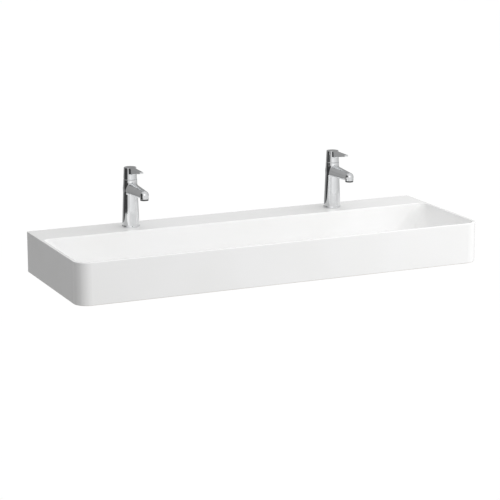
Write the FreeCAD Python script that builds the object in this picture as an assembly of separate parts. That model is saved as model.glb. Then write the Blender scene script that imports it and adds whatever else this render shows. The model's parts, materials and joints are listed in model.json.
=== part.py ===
import FreeCAD, Part
import math
import os

# A wide wall-hung hand basin with two lever mixers and one push-open waste, in millimetres.
# X runs to the right, Y towards the wall and Z up. The origin is on the wall face,
# in the middle of the line of wall-fixing holes. The front of the basin looks along -Y.

Vector = FreeCAD.Vector

# Basin
BASIN_WIDTH = 1200.0
BASIN_DEPTH = 420.0
BASIN_HEIGHT = 115.0
FRONT_CORNER_R = 38.0
BACK_CORNER_R = 3.0
RIM_WIDTH = 8.0
RIM_ROUND = 2.5
FOOT_ROUND = 1.5
DECK_DEPTH = 116.0
DECK_THICKNESS = 12.0
BACK_WALL = 12.0
SHELL_WALL = 8.0

# Bowl: the long sides leave the rim upright, the ends slope, and both flatten into the floor
BOWL_DEPTH = 86.0
BOWL_END_RUN = 82.0
BOWL_END_POWER = 1.08
BOWL_SIDE_RUN = 40.0
BOWL_SIDE_POWER = 2.5
BOWL_BACK_CORNER_R = 16.0
BOWL_FLOOR_CORNER_R = 38.0
BOWL_LEVELS = 10
DISH_R = 105.0
DISH_FALL = 2.5

# Holes in the basin
FIXING_HEIGHT = 60.0
FIXING_HOLE_R = 7.0
FIXING_SPACING = 280.0
FIXING_GROUP_X = 300.0
TAP_SPACING = 630.0
TAP_SETBACK = 58.5
TAP_HOLE_R = 17.5
DRAIN_SETBACK = 262.0
DRAIN_HOLE_R = 22.5
DRAIN_SEAT_R = 34.0
DRAIN_SEAT_DEPTH = 4.0
DRAIN_BOSS_R = 44.0
DRAIN_BOSS_DEPTH = 16.0

# Waste, with heights counted from the floor at the drain
WASTE_TUBE_R = 20.95
WASTE_BORE_R = 17.5
WASTE_MOUTH_R = 19.0
WASTE_MOUTH_DEPTH = 10.0
WASTE_FLANGE_R = 32.0
WASTE_FLANGE_THICKNESS = 3.0
WASTE_DROP = 62.0
WASTE_GROOVE_DEPTH = 0.8
WASTE_GROOVE_WIDTH = 2.0
WASTE_SEAL_THICKNESS = 2.0
WASTE_GASKET_THICKNESS = 4.0
WASTE_GASKET_R = 33.0
WASTE_WASHER_THICKNESS = 1.5
WASTE_NUT_HEIGHT = 11.0
WASTE_NUT_FLATS = 52.0
SPIDER_ARMS = 3
SPIDER_ARM_WIDTH = 4.0
SPIDER_THICKNESS = 5.0
SPIDER_HUB_R = 7.0
SPIDER_RISE = 8.0

# Push-open plug and its latch
PLUG_LIFT = 9.0
PLUG_CAP_R = 30.0
PLUG_CAP_EDGE = 2.0
PLUG_CAP_CROWN = 2.0
PLUG_CAP_GAP = 0.4
PLUG_BODY_R = 16.8
PLUG_BODY_HEIGHT = 8.0
PLUG_RING_WIRE_R = 1.5
STEM_R = 3.5
STEM_THREAD_R = 3.0
STEM_THREAD_LENGTH = 6.0
STEM_COLLAR_R = 5.5
STEM_COLLAR_HEIGHT = 3.0
STEM_TAIL = 4.0
LATCH_R = 7.5
LATCH_BORE_R = 6.0
LATCH_FLOOR = 2.0
LATCH_LIP = 2.0
LATCH_STUD_R = 3.0
SPRING_WIRE_R = 0.4
SPRING_COIL_R = 4.6
SPRING_TURNS = 5
SPRING_LENGTH = 9.0

# Mixer body, with heights counted from the deck
BODY_TOP = 134.0
BODY_BASE_R = 24.0
BODY_FOOT_R = 25.0
BODY_FOOT_HEIGHT = 2.0
BODY_FOOT_SLOPE = 2.0
BODY_SKIRT_WALL = 1.4
BODY_SKIRT_GAP = 0.2
BODY_TOP_WALL = 4.1
BODY_WALL = 3.2
BLOCK_HEIGHT = 34.0
BASE_SEAL_THICKNESS = 1.0
BASE_SEAL_OVERLAP = 2.0

# Spout
SPOUT_AXIS_Z = 108.3
SPOUT_ROOT_R = 19.0
SPOUT_TIP_R = 12.0
SPOUT_REACH = 107.0
SPOUT_BORE_R = 4.0
SPOUT_BORE_START = 3.0
SPOUT_BORE_RISE = 7.0
OUTLET_DROP = 0.15

# Aerator
AERATOR_R = 8.75
AERATOR_HEIGHT = 7.0
AERATOR_WALL = 1.8
AERATOR_LIP_R = 11.5
AERATOR_LIP_HEIGHT = 1.8
AERATOR_SEAL_HEIGHT = 1.5
AERATOR_SEAL_BORE_R = 6.0
AERATOR_GRID_PITCH = 2.4
AERATOR_GRID_HOLE_R = 0.75
AERATOR_GRID_RINGS = 2
AERATOR_RECESS = 0.8

# Water inlets and fixing of a mixer
INLET_R = 4.5
INLET_DEPTH = 20.0
INLET_X = 7.5
INLET_Y = 4.0
INLET_PORT_R = 2.6
STUD_R = 4.0
STUD_ROOM = 3.0
STUD_GRIP = 14.0
STUD_TAIL = 40.0
HOSE_ROOM_R = 6.5
CLAMP_OVERLAP = 8.5
CLAMP_PAD_THICKNESS = 3.0
CLAMP_PLATE_THICKNESS = 2.5
CLAMP_NUT_HEIGHT = 9.0
CLAMP_NUT_FLATS = 13.0

# Cartridge, with heights counted from its seat
CASE_R = 14.0
CASE_HEIGHT = 23.0
CASE_WALL = 2.0
CASE_BASE = 2.5
NUT_LEDGE = 0.9
NUT_DEPTH = 5.0
NUT_NOTCH_WIDTH = 4.0
NUT_NOTCH_DEPTH = 2.0
NUT_NOTCHES = 6
OUTLET_PORT_R = 3.0
OUTLET_PORT_Y = -6.5
PORT_SEAL_WIDTH = 1.4
PORT_SEAL_THICKNESS = 1.2
DISC_THICKNESS = 2.5
MIXING_POCKET_R = 5.0
MIXING_POCKET_DEPTH = 1.3
CARRIER_HEIGHT = 4.2
SOCKET_FLOOR = 0.8
BALL_R = 2.3
BALL_FLOAT = 0.4
TURRET_FLANGE = 2.5
TURRET_NECK_R = 8.6
TURRET_TOP_DROP = 1.5
TURRET_SLOT_HALF = 9.5
PIVOT_DROP = 3.0
PIVOT_R = 1.5
SPINDLE_R = 3.6
SPINDLE_NECK_R = 1.9
SPINDLE_SQUARE = 7.0
SPINDLE_SQUARE_LENGTH = 23.5

# Lever handle
TILT_MAX = 20.0
HANDLE_GAP = 0.5
HANDLE_STEP = 0.1
HANDLE_HEIGHT = 33.5
HANDLE_TOP_R = 17.4
HANDLE_WALL = 3.7
HANDLE_CROWN = 7.0
HANDLE_ROUND = 1.2
HANDLE_BOSS_R = 7.0
HANDLE_BOSS_LENGTH = 15.0
LEVER_REACH = 88.0
LEVER_ROOT_WIDTH = 16.0
LEVER_TIP_WIDTH = 12.0
LEVER_ROOT_THICKNESS = 17.5
LEVER_TIP_THICKNESS = 4.2
LEVER_CORNER_R = 2.5
GRUB_R = 2.5
GRUB_LENGTH = 8.0
GRUB_HEIGHT = 17.5
COVER_PLUG_R = 3.2
COVER_PLUG_LENGTH = 3.0

# Clearances
RUNNING_CLEARANCE = 0.05
FIT_CLEARANCE = 0.1
MOVING_CLEARANCE = 0.3

# Derived places
HALF_WIDTH = BASIN_WIDTH / 2.0
FOOT_Z = -FIXING_HEIGHT
RIM_Z = BASIN_HEIGHT - FIXING_HEIGHT
FRONT_Y = -BASIN_DEPTH
DECK_UNDER_Z = RIM_Z - DECK_THICKNESS
FLOOR_Z = RIM_Z - BOWL_DEPTH
DRAIN_Z = FLOOR_Z - DISH_FALL
DRAIN_Y = -DRAIN_SETBACK
TAP_Y = -TAP_SETBACK
TAP_PLACES = {"left": -TAP_SPACING / 2.0, "right": TAP_SPACING / 2.0}
FIXING_XS = [
    side * FIXING_GROUP_X + step * FIXING_SPACING / 2.0
    for side in (-1, 1)
    for step in (-1, 1)
]

# Derived sizes of the waste
FLANGE_BOTTOM = WASTE_SEAL_THICKNESS - DRAIN_SEAT_DEPTH
FLANGE_TOP = FLANGE_BOTTOM + WASTE_FLANGE_THICKNESS
GASKET_Z = -DRAIN_BOSS_DEPTH
WASHER_Z = GASKET_Z - WASTE_GASKET_THICKNESS
WASTE_NUT_Z = WASHER_Z - WASTE_WASHER_THICKNESS
WASTE_NUT_END = WASTE_NUT_Z - WASTE_NUT_HEIGHT
TAIL_TOP = WASTE_NUT_END - WASTE_GROOVE_WIDTH
SPIDER_Z = SPIDER_RISE - WASTE_DROP
HUB_TOP = SPIDER_Z + SPIDER_THICKNESS
CAP_Z = FLANGE_TOP + PLUG_CAP_GAP
PLUG_BOTTOM = CAP_Z - PLUG_BODY_HEIGHT
PLUG_RING_Z = (PLUG_BOTTOM + FLANGE_TOP) / 2.0
SPRING_Z = HUB_TOP + LATCH_FLOOR
COLLAR_Z = SPRING_Z + SPRING_LENGTH
LATCH_TOP = COLLAR_Z + STEM_COLLAR_HEIGHT + PLUG_LIFT + LATCH_LIP + MOVING_CLEARANCE

# Derived sizes of a mixer
NUT_R = CASE_R + NUT_LEDGE
BODY_TOP_R = NUT_R + BODY_TOP_WALL
SKIRT_R = BODY_FOOT_R - BODY_SKIRT_WALL
SEAT_Z = BODY_TOP - NUT_DEPTH - CASE_HEIGHT
BLOCK_Z = SEAT_Z - BLOCK_HEIGHT
STUD_Y = STUD_R + STUD_ROOM - TAP_HOLE_R
CLAMP_R = TAP_HOLE_R + CLAMP_OVERLAP
PAD_Z = -DECK_THICKNESS - CLAMP_PAD_THICKNESS
PLATE_Z = PAD_Z - CLAMP_PLATE_THICKNESS
CLAMP_NUT_Z = PLATE_Z - CLAMP_NUT_HEIGHT
CAVITY_R = CASE_R - CASE_WALL
FIXED_DISC_Z = CASE_BASE
MOVING_DISC_Z = FIXED_DISC_Z + DISC_THICKNESS + RUNNING_CLEARANCE
CARRIER_Z = MOVING_DISC_Z + DISC_THICKNESS
TURRET_Z = CARRIER_Z + CARRIER_HEIGHT + MOVING_CLEARANCE
LIP_Z = TURRET_Z + TURRET_FLANGE + MOVING_CLEARANCE
PIVOT_Z = CASE_HEIGHT - PIVOT_DROP
TURRET_TOP = CASE_HEIGHT + NUT_DEPTH - TURRET_TOP_DROP
BALL_Z = CARRIER_Z + SOCKET_FLOOR + BALL_FLOAT + BALL_R
DISC_TRAVEL = (PIVOT_Z - BALL_Z) * math.sin(math.radians(TILT_MAX))
DISC_REST_Y = DISC_TRAVEL / 2.0
MOVING_DISC_R = CAVITY_R - DISC_TRAVEL / 2.0 - MOVING_CLEARANCE
PIVOT_HEIGHT = SEAT_Z + PIVOT_Z
HANDLE_Z = BODY_TOP + HANDLE_GAP
HANDLE_TOP = HANDLE_Z + HANDLE_HEIGHT
HANDLE_BASE_R = BODY_TOP_R - HANDLE_STEP
HANDLE_BORE_R = HANDLE_BASE_R - HANDLE_WALL
BORE_TOP = HANDLE_TOP - HANDLE_CROWN
SQUARE_Z = SEAT_Z + TURRET_TOP + MOVING_CLEARANCE
BOSS_Z = BORE_TOP - HANDLE_BOSS_LENGTH
GRUB_Z = HANDLE_Z + GRUB_HEIGHT
LIP_BACK = SPOUT_REACH - AERATOR_LIP_R
LIP_BACK_SPOUT_R = SPOUT_ROOT_R + (SPOUT_TIP_R - SPOUT_ROOT_R) * LIP_BACK / SPOUT_REACH
OUTLET_Z = SPOUT_AXIS_Z - LIP_BACK_SPOUT_R - OUTLET_DROP
AERATOR_TOP = OUTLET_Z + AERATOR_HEIGHT
CHAMBER_TOP = AERATOR_TOP + AERATOR_SEAL_HEIGHT
AERATOR_BORE_R = AERATOR_R - AERATOR_WALL
SPOUT_BORE_Z = SEAT_Z - SPOUT_BORE_R - RUNNING_CLEARANCE

# Room by which a cutting shape passes the face it cuts
PASS = 1.0


def cylinder(radius, z0, z1, x=0.0, y=0.0):
    """Upright cylinder between two heights."""
    return Part.makeCylinder(radius, z1 - z0, Vector(x, y, z0))


def ring(outer_r, inner_r, z0, z1, x=0.0, y=0.0):
    """Flat ring between two heights."""
    return cylinder(outer_r, z0, z1, x, y).cut(cylinder(inner_r, z0, z1, x, y))


def block(x0, x1, y0, y1, z0, z1):
    """Box between two corners."""
    return Part.makeBox(x1 - x0, y1 - y0, z1 - z0, Vector(x0, y0, z0))


def turned(points):
    """Solid of revolution about Z from a closed outline of (radius, height) points."""
    outline = [Vector(r, 0.0, z) for r, z in points]
    face = Part.Face(Part.makePolygon(outline + outline[:1]))
    return face.revolve(Vector(0, 0, 0), Vector(0, 0, 1), 360.0)


def hexagon(flats, z0, z1, x=0.0, y=0.0):
    """Upright hexagonal prism with the given width across flats."""
    corner_r = flats / 2.0 / math.cos(math.pi / 6.0)
    corners = [
        Vector(x + corner_r * math.cos(k * math.pi / 3.0), y + corner_r * math.sin(k * math.pi / 3.0), z0)
        for k in range(6)
    ]
    face = Part.Face(Part.makePolygon(corners + corners[:1]))
    return face.extrude(Vector(0, 0, z1 - z0))


def fused(first, *others):
    """One solid from overlapping shapes, with the seams between equal faces removed."""
    return first.fuse(list(others)).removeSplitter()


def single(shape):
    """The only solid of a shape."""
    if len(shape.Solids) != 1:
        raise ValueError(f"expected one solid, found {len(shape.Solids)}")
    return shape.Solids[0]


def plan_outline(half_x, y_front, y_back, r_front, r_back, z):
    """Level outline with straight sides and rounded corners."""
    corners = (
        (half_x - r_back, y_back - r_back, r_back, 0.0),
        (r_back - half_x, y_back - r_back, r_back, 90.0),
        (r_front - half_x, y_front + r_front, r_front, 180.0),
        (half_x - r_front, y_front + r_front, r_front, 270.0),
    )
    arcs = []
    for x, y, radius, start in corners:
        turns = [math.radians(start + part) for part in (0.0, 45.0, 90.0)]
        points = [Vector(x + radius * math.cos(t), y + radius * math.sin(t), z) for t in turns]
        arcs.append(Part.Arc(*points).toShape())
    edges = []
    for arc, after in zip(arcs, arcs[1:] + arcs[:1]):
        edges.append(arc)
        edges.append(Part.makeLine(arc.Vertexes[-1].Point, after.Vertexes[0].Point))
    return Part.Wire(edges)


def level_edges(shape, z, half_x, y_front, y_back):
    """Edges at one height inside a plan rectangle."""
    found = []
    for edge in shape.Edges:
        middle = edge.valueAt((edge.FirstParameter + edge.LastParameter) / 2.0)
        points = [vertex.Point for vertex in edge.Vertexes] + [middle]
        level = all(abs(p.z - z) < RUNNING_CLEARANCE for p in points)
        inside = all(abs(p.x) < half_x and y_front < p.y < y_back for p in points)
        if level and inside:
            found.append(edge)
    return found


def wall_inset(run, power, fraction):
    """How far a bowl wall has come in at a fraction of the bowl's depth."""
    return run * (1.0 - (1.0 - fraction**power) ** (1.0 / power))


def bowl_space(wall):
    """Space of the bowl, grown outwards and downwards by a wall."""
    half_x = HALF_WIDTH - RIM_WIDTH + wall
    y_front = FRONT_Y + RIM_WIDTH - wall
    y_back = -DECK_DEPTH + wall
    front_r = FRONT_CORNER_R - RIM_WIDTH
    outlines = []
    for level in range(BOWL_LEVELS + 1):
        fraction = math.sin(math.pi / 2.0 * level / BOWL_LEVELS)
        end = wall_inset(BOWL_END_RUN, BOWL_END_POWER, fraction)
        side = wall_inset(BOWL_SIDE_RUN, BOWL_SIDE_POWER, fraction)
        swell = math.sin(math.pi / 2.0 * fraction)
        r_front = front_r + (BOWL_FLOOR_CORNER_R - front_r) * swell + wall
        r_back = BOWL_BACK_CORNER_R + (BOWL_FLOOR_CORNER_R - BOWL_BACK_CORNER_R) * swell + wall
        z = RIM_Z - (BOWL_DEPTH + wall) * fraction
        outlines.append(plan_outline(half_x - end, y_front + side, y_back - side, r_front, r_back, z))
    return Part.makeLoft(outlines, True, False)


def basin_blank():
    """Outside of the basin with softened rim and foot."""
    outline = plan_outline(HALF_WIDTH, FRONT_Y, 0.0, FRONT_CORNER_R, BACK_CORNER_R, FOOT_Z)
    blank = Part.Face(outline).extrude(Vector(0, 0, BASIN_HEIGHT))
    reach = HALF_WIDTH + PASS
    rim = level_edges(blank, RIM_Z, reach, FRONT_Y - PASS, PASS)
    blank = blank.makeFillet(RIM_ROUND, rim)
    foot = level_edges(blank, FOOT_Z, reach, FRONT_Y - PASS, PASS)
    return blank.makeFillet(FOOT_ROUND, foot)


def basin_hollow():
    """Space under the deck and round the bowl, open at the foot."""
    outline = plan_outline(
        HALF_WIDTH - SHELL_WALL,
        FRONT_Y + SHELL_WALL,
        -BACK_WALL,
        FRONT_CORNER_R - SHELL_WALL,
        BACK_CORNER_R,
        FOOT_Z - PASS,
    )
    space = Part.Face(outline).extrude(Vector(0, 0, DECK_UNDER_Z - FOOT_Z + PASS))
    boss = cylinder(DRAIN_BOSS_R, DRAIN_Z - DRAIN_BOSS_DEPTH, FLOOR_Z, 0.0, DRAIN_Y)
    return space.cut(bowl_space(SHELL_WALL)).cut(boss)


def make_basin():
    """Ceramic basin with bowl, tap deck, drain and wall-fixing holes."""
    basin = basin_blank().cut(bowl_space(0.0))
    inner_x = HALF_WIDTH - RIM_WIDTH / 2.0
    mouth = level_edges(basin, RIM_Z, inner_x, FRONT_Y + RIM_WIDTH / 2.0, -DECK_DEPTH / 2.0)
    basin = basin.makeFillet(RIM_ROUND, mouth)
    basin = basin.cut(basin_hollow())
    dish = Part.makeCone(DRAIN_SEAT_R, DISH_R, DISH_FALL, Vector(0, DRAIN_Y, DRAIN_Z))
    seat = cylinder(DRAIN_SEAT_R, DRAIN_Z - DRAIN_SEAT_DEPTH, FLOOR_Z, 0.0, DRAIN_Y)
    drain = cylinder(DRAIN_HOLE_R, FOOT_Z, FLOOR_Z, 0.0, DRAIN_Y)
    holes = [dish, seat, drain]
    for x in TAP_PLACES.values():
        holes.append(cylinder(TAP_HOLE_R, DECK_UNDER_Z - PASS, RIM_Z + PASS, x, TAP_Y))
    for x in FIXING_XS:
        start = Vector(x, -BACK_WALL - PASS, 0.0)
        holes.append(Part.makeCylinder(FIXING_HOLE_R, BACK_WALL + 2.0 * PASS, start, Vector(0, 1, 0)))
    return single(basin.cut(holes))


def make_waste_body():
    """Flanged waste tube with the spider that carries the latch."""
    tube = turned(
        [
            (WASTE_BORE_R, -WASTE_DROP),
            (WASTE_TUBE_R, -WASTE_DROP),
            (WASTE_TUBE_R, TAIL_TOP),
            (WASTE_TUBE_R - WASTE_GROOVE_DEPTH, TAIL_TOP),
            (WASTE_TUBE_R - WASTE_GROOVE_DEPTH, WASTE_NUT_END),
            (WASTE_TUBE_R, WASTE_NUT_END),
            (WASTE_TUBE_R, FLANGE_BOTTOM),
            (WASTE_FLANGE_R, FLANGE_BOTTOM),
            (WASTE_FLANGE_R, FLANGE_TOP - WASTE_FLANGE_THICKNESS / 2.0),
            (WASTE_FLANGE_R - WASTE_FLANGE_THICKNESS / 2.0, FLANGE_TOP),
            (WASTE_MOUTH_R, FLANGE_TOP),
            (WASTE_MOUTH_R, FLANGE_TOP - WASTE_MOUTH_DEPTH),
            (WASTE_BORE_R, FLANGE_TOP - WASTE_MOUTH_DEPTH),
        ]
    )
    arm_end = (WASTE_BORE_R + WASTE_TUBE_R) / 2.0
    half_arm = SPIDER_ARM_WIDTH / 2.0
    arm = block(0.0, arm_end, -half_arm, half_arm, SPIDER_Z, HUB_TOP)
    arms = []
    for k in range(SPIDER_ARMS):
        turned_arm = arm.copy()
        turned_arm.rotate(Vector(0, 0, 0), Vector(0, 0, 1), 90.0 + 360.0 * k / SPIDER_ARMS)
        arms.append(turned_arm)
    hub = cylinder(SPIDER_HUB_R, SPIDER_Z, HUB_TOP)
    body = fused(tube, hub, *arms)
    return single(body.cut(cylinder(LATCH_STUD_R + RUNNING_CLEARANCE, SPIDER_Z, HUB_TOP)))


def make_waste_latch():
    """Latch case screwed into the spider, with a lip that keeps the stem's collar in."""
    case = cylinder(LATCH_R, HUB_TOP, LATCH_TOP)
    bore = cylinder(LATCH_BORE_R, SPRING_Z, LATCH_TOP - LATCH_LIP)
    mouth = cylinder(STEM_R + MOVING_CLEARANCE, LATCH_TOP - LATCH_LIP, LATCH_TOP)
    stud = cylinder(LATCH_STUD_R, SPIDER_Z, HUB_TOP)
    return single(fused(case, stud).cut([bore, mouth]))


def make_waste_spring():
    """Coil spring between the latch floor and the stem's collar."""
    height = SPRING_LENGTH - 2.0 * SPRING_WIRE_R
    path = Part.makeHelix(height / SPRING_TURNS, height, SPRING_COIL_R)
    section = Part.Wire(Part.makeCircle(SPRING_WIRE_R, Vector(SPRING_COIL_R, 0, 0), Vector(0, 1, 0)))
    coil = Part.Wire(path).makePipeShell([section], True, True)
    coil.translate(Vector(0, 0, SPRING_Z + SPRING_WIRE_R))
    return single(coil)


def make_waste_stem():
    """Stem that joins the plug to the latch."""
    stem = cylinder(STEM_R, COLLAR_Z - STEM_TAIL, PLUG_BOTTOM)
    collar = cylinder(STEM_COLLAR_R, COLLAR_Z, COLLAR_Z + STEM_COLLAR_HEIGHT)
    thread = cylinder(STEM_THREAD_R, PLUG_BOTTOM, PLUG_BOTTOM + STEM_THREAD_LENGTH)
    return single(fused(stem, collar, thread))


def make_waste_plug():
    """Domed plug cap with a grooved body under it."""
    rim_z = CAP_Z + PLUG_CAP_EDGE
    top = rim_z + PLUG_CAP_CROWN
    crown_r = (PLUG_CAP_R**2 + PLUG_CAP_CROWN**2) / (2.0 * PLUG_CAP_CROWN)
    dome = Part.makeSphere(crown_r, Vector(0, 0, top - crown_r))
    cap = cylinder(PLUG_CAP_R, CAP_Z, top).common(dome)
    body = cylinder(PLUG_BODY_R, PLUG_BOTTOM, CAP_Z)
    groove = Part.makeTorus(PLUG_BODY_R, PLUG_RING_WIRE_R, Vector(0, 0, PLUG_RING_Z))
    hole = cylinder(STEM_THREAD_R + RUNNING_CLEARANCE, PLUG_BOTTOM, PLUG_BOTTOM + STEM_THREAD_LENGTH)
    return single(fused(cap, body).cut([groove, hole]))


def make_plug_ring():
    """Rubber ring that lies in the plug's groove."""
    wire_r = PLUG_RING_WIRE_R - RUNNING_CLEARANCE
    return Part.makeTorus(PLUG_BODY_R, wire_r, Vector(0, 0, PLUG_RING_Z))


def make_waste_nut():
    """Hexagonal lock nut on the waste tube."""
    nut = hexagon(WASTE_NUT_FLATS, WASTE_NUT_END, WASTE_NUT_Z)
    return single(nut.cut(cylinder(WASTE_TUBE_R + FIT_CLEARANCE, WASTE_NUT_END, WASTE_NUT_Z)))


def waste_pieces():
    """Pieces of the waste round the drain axis, by node name."""
    tube_hole_r = WASTE_TUBE_R + FIT_CLEARANCE
    return {
        "waste_body": make_waste_body(),
        "waste_flange_seal": ring(WASTE_FLANGE_R, tube_hole_r, -DRAIN_SEAT_DEPTH, FLANGE_BOTTOM),
        "waste_gasket": ring(WASTE_GASKET_R, tube_hole_r, WASHER_Z, GASKET_Z),
        "waste_washer": ring(WASTE_GASKET_R, tube_hole_r, WASTE_NUT_Z, WASHER_Z),
        "waste_nut": make_waste_nut(),
        "waste_latch": make_waste_latch(),
        "waste_spring": make_waste_spring(),
        "waste_stem": make_waste_stem(),
        "waste_plug": make_waste_plug(),
        "waste_plug_ring": make_plug_ring(),
    }


def spout_solid():
    """Tapering spout that runs forward, with a ball-shaped corner over the outlet."""
    run = Part.makeCone(SPOUT_ROOT_R, SPOUT_TIP_R, SPOUT_REACH, Vector(0, 0, SPOUT_AXIS_Z), Vector(0, -1, 0))
    middle = Vector(0, -SPOUT_REACH, SPOUT_AXIS_Z)
    corner = Part.makeSphere(SPOUT_TIP_R, middle, Vector(0, 0, 1), 0, 90, 360)
    nozzle = cylinder(SPOUT_TIP_R, OUTLET_Z, SPOUT_AXIS_Z, 0.0, -SPOUT_REACH)
    return fused(run, corner, nozzle)


def body_r_at(z):
    """Radius of the mixer's column at a height."""
    return BODY_BASE_R + (BODY_TOP_R - BODY_BASE_R) * z / BODY_TOP


def body_waterways():
    """Bores of the mixer body: inlets, mixed water, spout and aerator chamber."""
    bores = []
    for x in (-INLET_X, INLET_X):
        bores.append(cylinder(INLET_R, BLOCK_Z - PASS, BLOCK_Z + INLET_DEPTH, x, INLET_Y))
        bores.append(cylinder(INLET_PORT_R, BLOCK_Z + INLET_DEPTH, SEAT_Z + PASS, x, INLET_Y))
    bores.append(cylinder(OUTLET_PORT_R, SPOUT_BORE_Z, SEAT_Z + PASS, 0.0, OUTLET_PORT_Y))
    start = Vector(0, -SPOUT_BORE_START, SPOUT_BORE_Z)
    end = Vector(0, -SPOUT_REACH, SPOUT_BORE_Z + SPOUT_BORE_RISE)
    bores.append(Part.makeCylinder(SPOUT_BORE_R, (end - start).Length, start, end - start))
    bores.append(cylinder(SPOUT_BORE_R, CHAMBER_TOP - PASS, end.z, 0.0, -SPOUT_REACH))
    bores.append(cylinder(AERATOR_R + RUNNING_CLEARANCE, OUTLET_Z - PASS, CHAMBER_TOP, 0.0, -SPOUT_REACH))
    return bores


def make_tap_body():
    """Cast mixer body: conical column, spout, hollow foot and cartridge chamber."""
    foot_top = BASE_SEAL_THICKNESS + BODY_FOOT_HEIGHT
    slope_top = foot_top + BODY_FOOT_SLOPE
    column = turned(
        [
            (0.0, BASE_SEAL_THICKNESS),
            (SKIRT_R, BASE_SEAL_THICKNESS),
            (SKIRT_R, BODY_SKIRT_GAP),
            (BODY_FOOT_R, BODY_SKIRT_GAP),
            (BODY_FOOT_R, foot_top),
            (body_r_at(slope_top), slope_top),
            (BODY_TOP_R, BODY_TOP),
            (0.0, BODY_TOP),
        ]
    )
    body = fused(column, spout_solid())
    hollow_height = BLOCK_Z - BASE_SEAL_THICKNESS
    low_r = body_r_at(BASE_SEAL_THICKNESS) - BODY_WALL
    high_r = body_r_at(BLOCK_Z) - BODY_WALL
    hollow = Part.makeCone(low_r, high_r, hollow_height, Vector(0, 0, BASE_SEAL_THICKNESS))
    chamber = cylinder(CASE_R + FIT_CLEARANCE, SEAT_Z, BODY_TOP)
    thread = cylinder(NUT_R + RUNNING_CLEARANCE, BODY_TOP - NUT_DEPTH, BODY_TOP)
    stud_hole = cylinder(STUD_R + RUNNING_CLEARANCE, BLOCK_Z - PASS, BLOCK_Z + STUD_GRIP, 0.0, STUD_Y)
    return single(body.cut([hollow, chamber, thread, stud_hole] + body_waterways()))


def clamp_layer(z0, z1):
    """One horseshoe layer under the deck, open towards the wall for the hoses."""
    half_slot = INLET_X + HOSE_ROOM_R
    slot_front = INLET_Y - HOSE_ROOM_R
    slot = block(-half_slot, half_slot, slot_front, CLAMP_R + PASS, z0, z1)
    hole = cylinder(STUD_R + FIT_CLEARANCE, z0, z1, 0.0, STUD_Y)
    return single(cylinder(CLAMP_R, z0, z1).cut([slot, hole]))


def make_clamp_nut():
    """Long hexagonal nut that draws the mixer down."""
    nut = hexagon(CLAMP_NUT_FLATS, CLAMP_NUT_Z, PLATE_Z, 0.0, STUD_Y)
    return single(nut.cut(cylinder(STUD_R + RUNNING_CLEARANCE, CLAMP_NUT_Z, PLATE_Z, 0.0, STUD_Y)))


def make_aerator_housing():
    """Threaded ring that holds the aerator in the outlet."""
    thread = cylinder(AERATOR_R, OUTLET_Z, AERATOR_TOP, 0.0, -SPOUT_REACH)
    lip = cylinder(AERATOR_LIP_R, OUTLET_Z - AERATOR_LIP_HEIGHT, OUTLET_Z, 0.0, -SPOUT_REACH)
    bore = cylinder(AERATOR_BORE_R, OUTLET_Z - AERATOR_LIP_HEIGHT, AERATOR_TOP, 0.0, -SPOUT_REACH)
    return single(fused(thread, lip).cut(bore))


def make_aerator_insert():
    """Aerator insert with a grid of fine holes."""
    bottom = OUTLET_Z - AERATOR_LIP_HEIGHT + AERATOR_RECESS
    insert = cylinder(AERATOR_BORE_R - RUNNING_CLEARANCE, bottom, AERATOR_TOP, 0.0, -SPOUT_REACH)
    holes = [cylinder(AERATOR_GRID_HOLE_R, bottom, AERATOR_TOP, 0.0, -SPOUT_REACH)]
    for around in range(1, AERATOR_GRID_RINGS + 1):
        for k in range(6 * around):
            turn = 2.0 * math.pi * k / (6 * around)
            x = around * AERATOR_GRID_PITCH * math.cos(turn)
            y = around * AERATOR_GRID_PITCH * math.sin(turn) - SPOUT_REACH
            holes.append(cylinder(AERATOR_GRID_HOLE_R, bottom, AERATOR_TOP, x, y))
    return single(insert.cut(holes))


def ports():
    """Centre and radius of each water port in the cartridge base."""
    return (
        (-INLET_X, INLET_Y, INLET_PORT_R),
        (INLET_X, INLET_Y, INLET_PORT_R),
        (0.0, OUTLET_PORT_Y, OUTLET_PORT_R),
    )


def make_cartridge_case():
    """Cartridge case with ports and seal recesses in its base and a lip over the turret."""
    case = cylinder(CASE_R, 0.0, CASE_HEIGHT)
    cavity = cylinder(CAVITY_R, CASE_BASE, LIP_Z)
    mouth = cylinder(TURRET_NECK_R + MOVING_CLEARANCE, LIP_Z, CASE_HEIGHT)
    cuts = [cavity, mouth]
    for x, y, radius in ports():
        cuts.append(cylinder(radius, 0.0, CASE_BASE, x, y))
        cuts.append(cylinder(radius + PORT_SEAL_WIDTH + RUNNING_CLEARANCE, 0.0, PORT_SEAL_THICKNESS, x, y))
    return single(case.cut(cuts))


def make_port_seals():
    """Rubber rings under the cartridge, one round each port."""
    rings = [
        ring(radius + PORT_SEAL_WIDTH, radius, 0.0, PORT_SEAL_THICKNESS, x, y) for x, y, radius in ports()
    ]
    return Part.makeCompound(rings)


def make_fixed_disc():
    """Fixed ceramic disc with the three ports."""
    disc = cylinder(CAVITY_R - RUNNING_CLEARANCE, FIXED_DISC_Z, FIXED_DISC_Z + DISC_THICKNESS)
    holes = [cylinder(radius, FIXED_DISC_Z, FIXED_DISC_Z + DISC_THICKNESS, x, y) for x, y, radius in ports()]
    return single(disc.cut(holes))


def make_moving_disc():
    """Sliding ceramic disc with its mixing pocket."""
    disc = cylinder(MOVING_DISC_R, MOVING_DISC_Z, CARRIER_Z, 0.0, DISC_REST_Y)
    pocket = cylinder(MIXING_POCKET_R, MOVING_DISC_Z, MOVING_DISC_Z + MIXING_POCKET_DEPTH, 0.0, DISC_REST_Y)
    return single(disc.cut(pocket))


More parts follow.
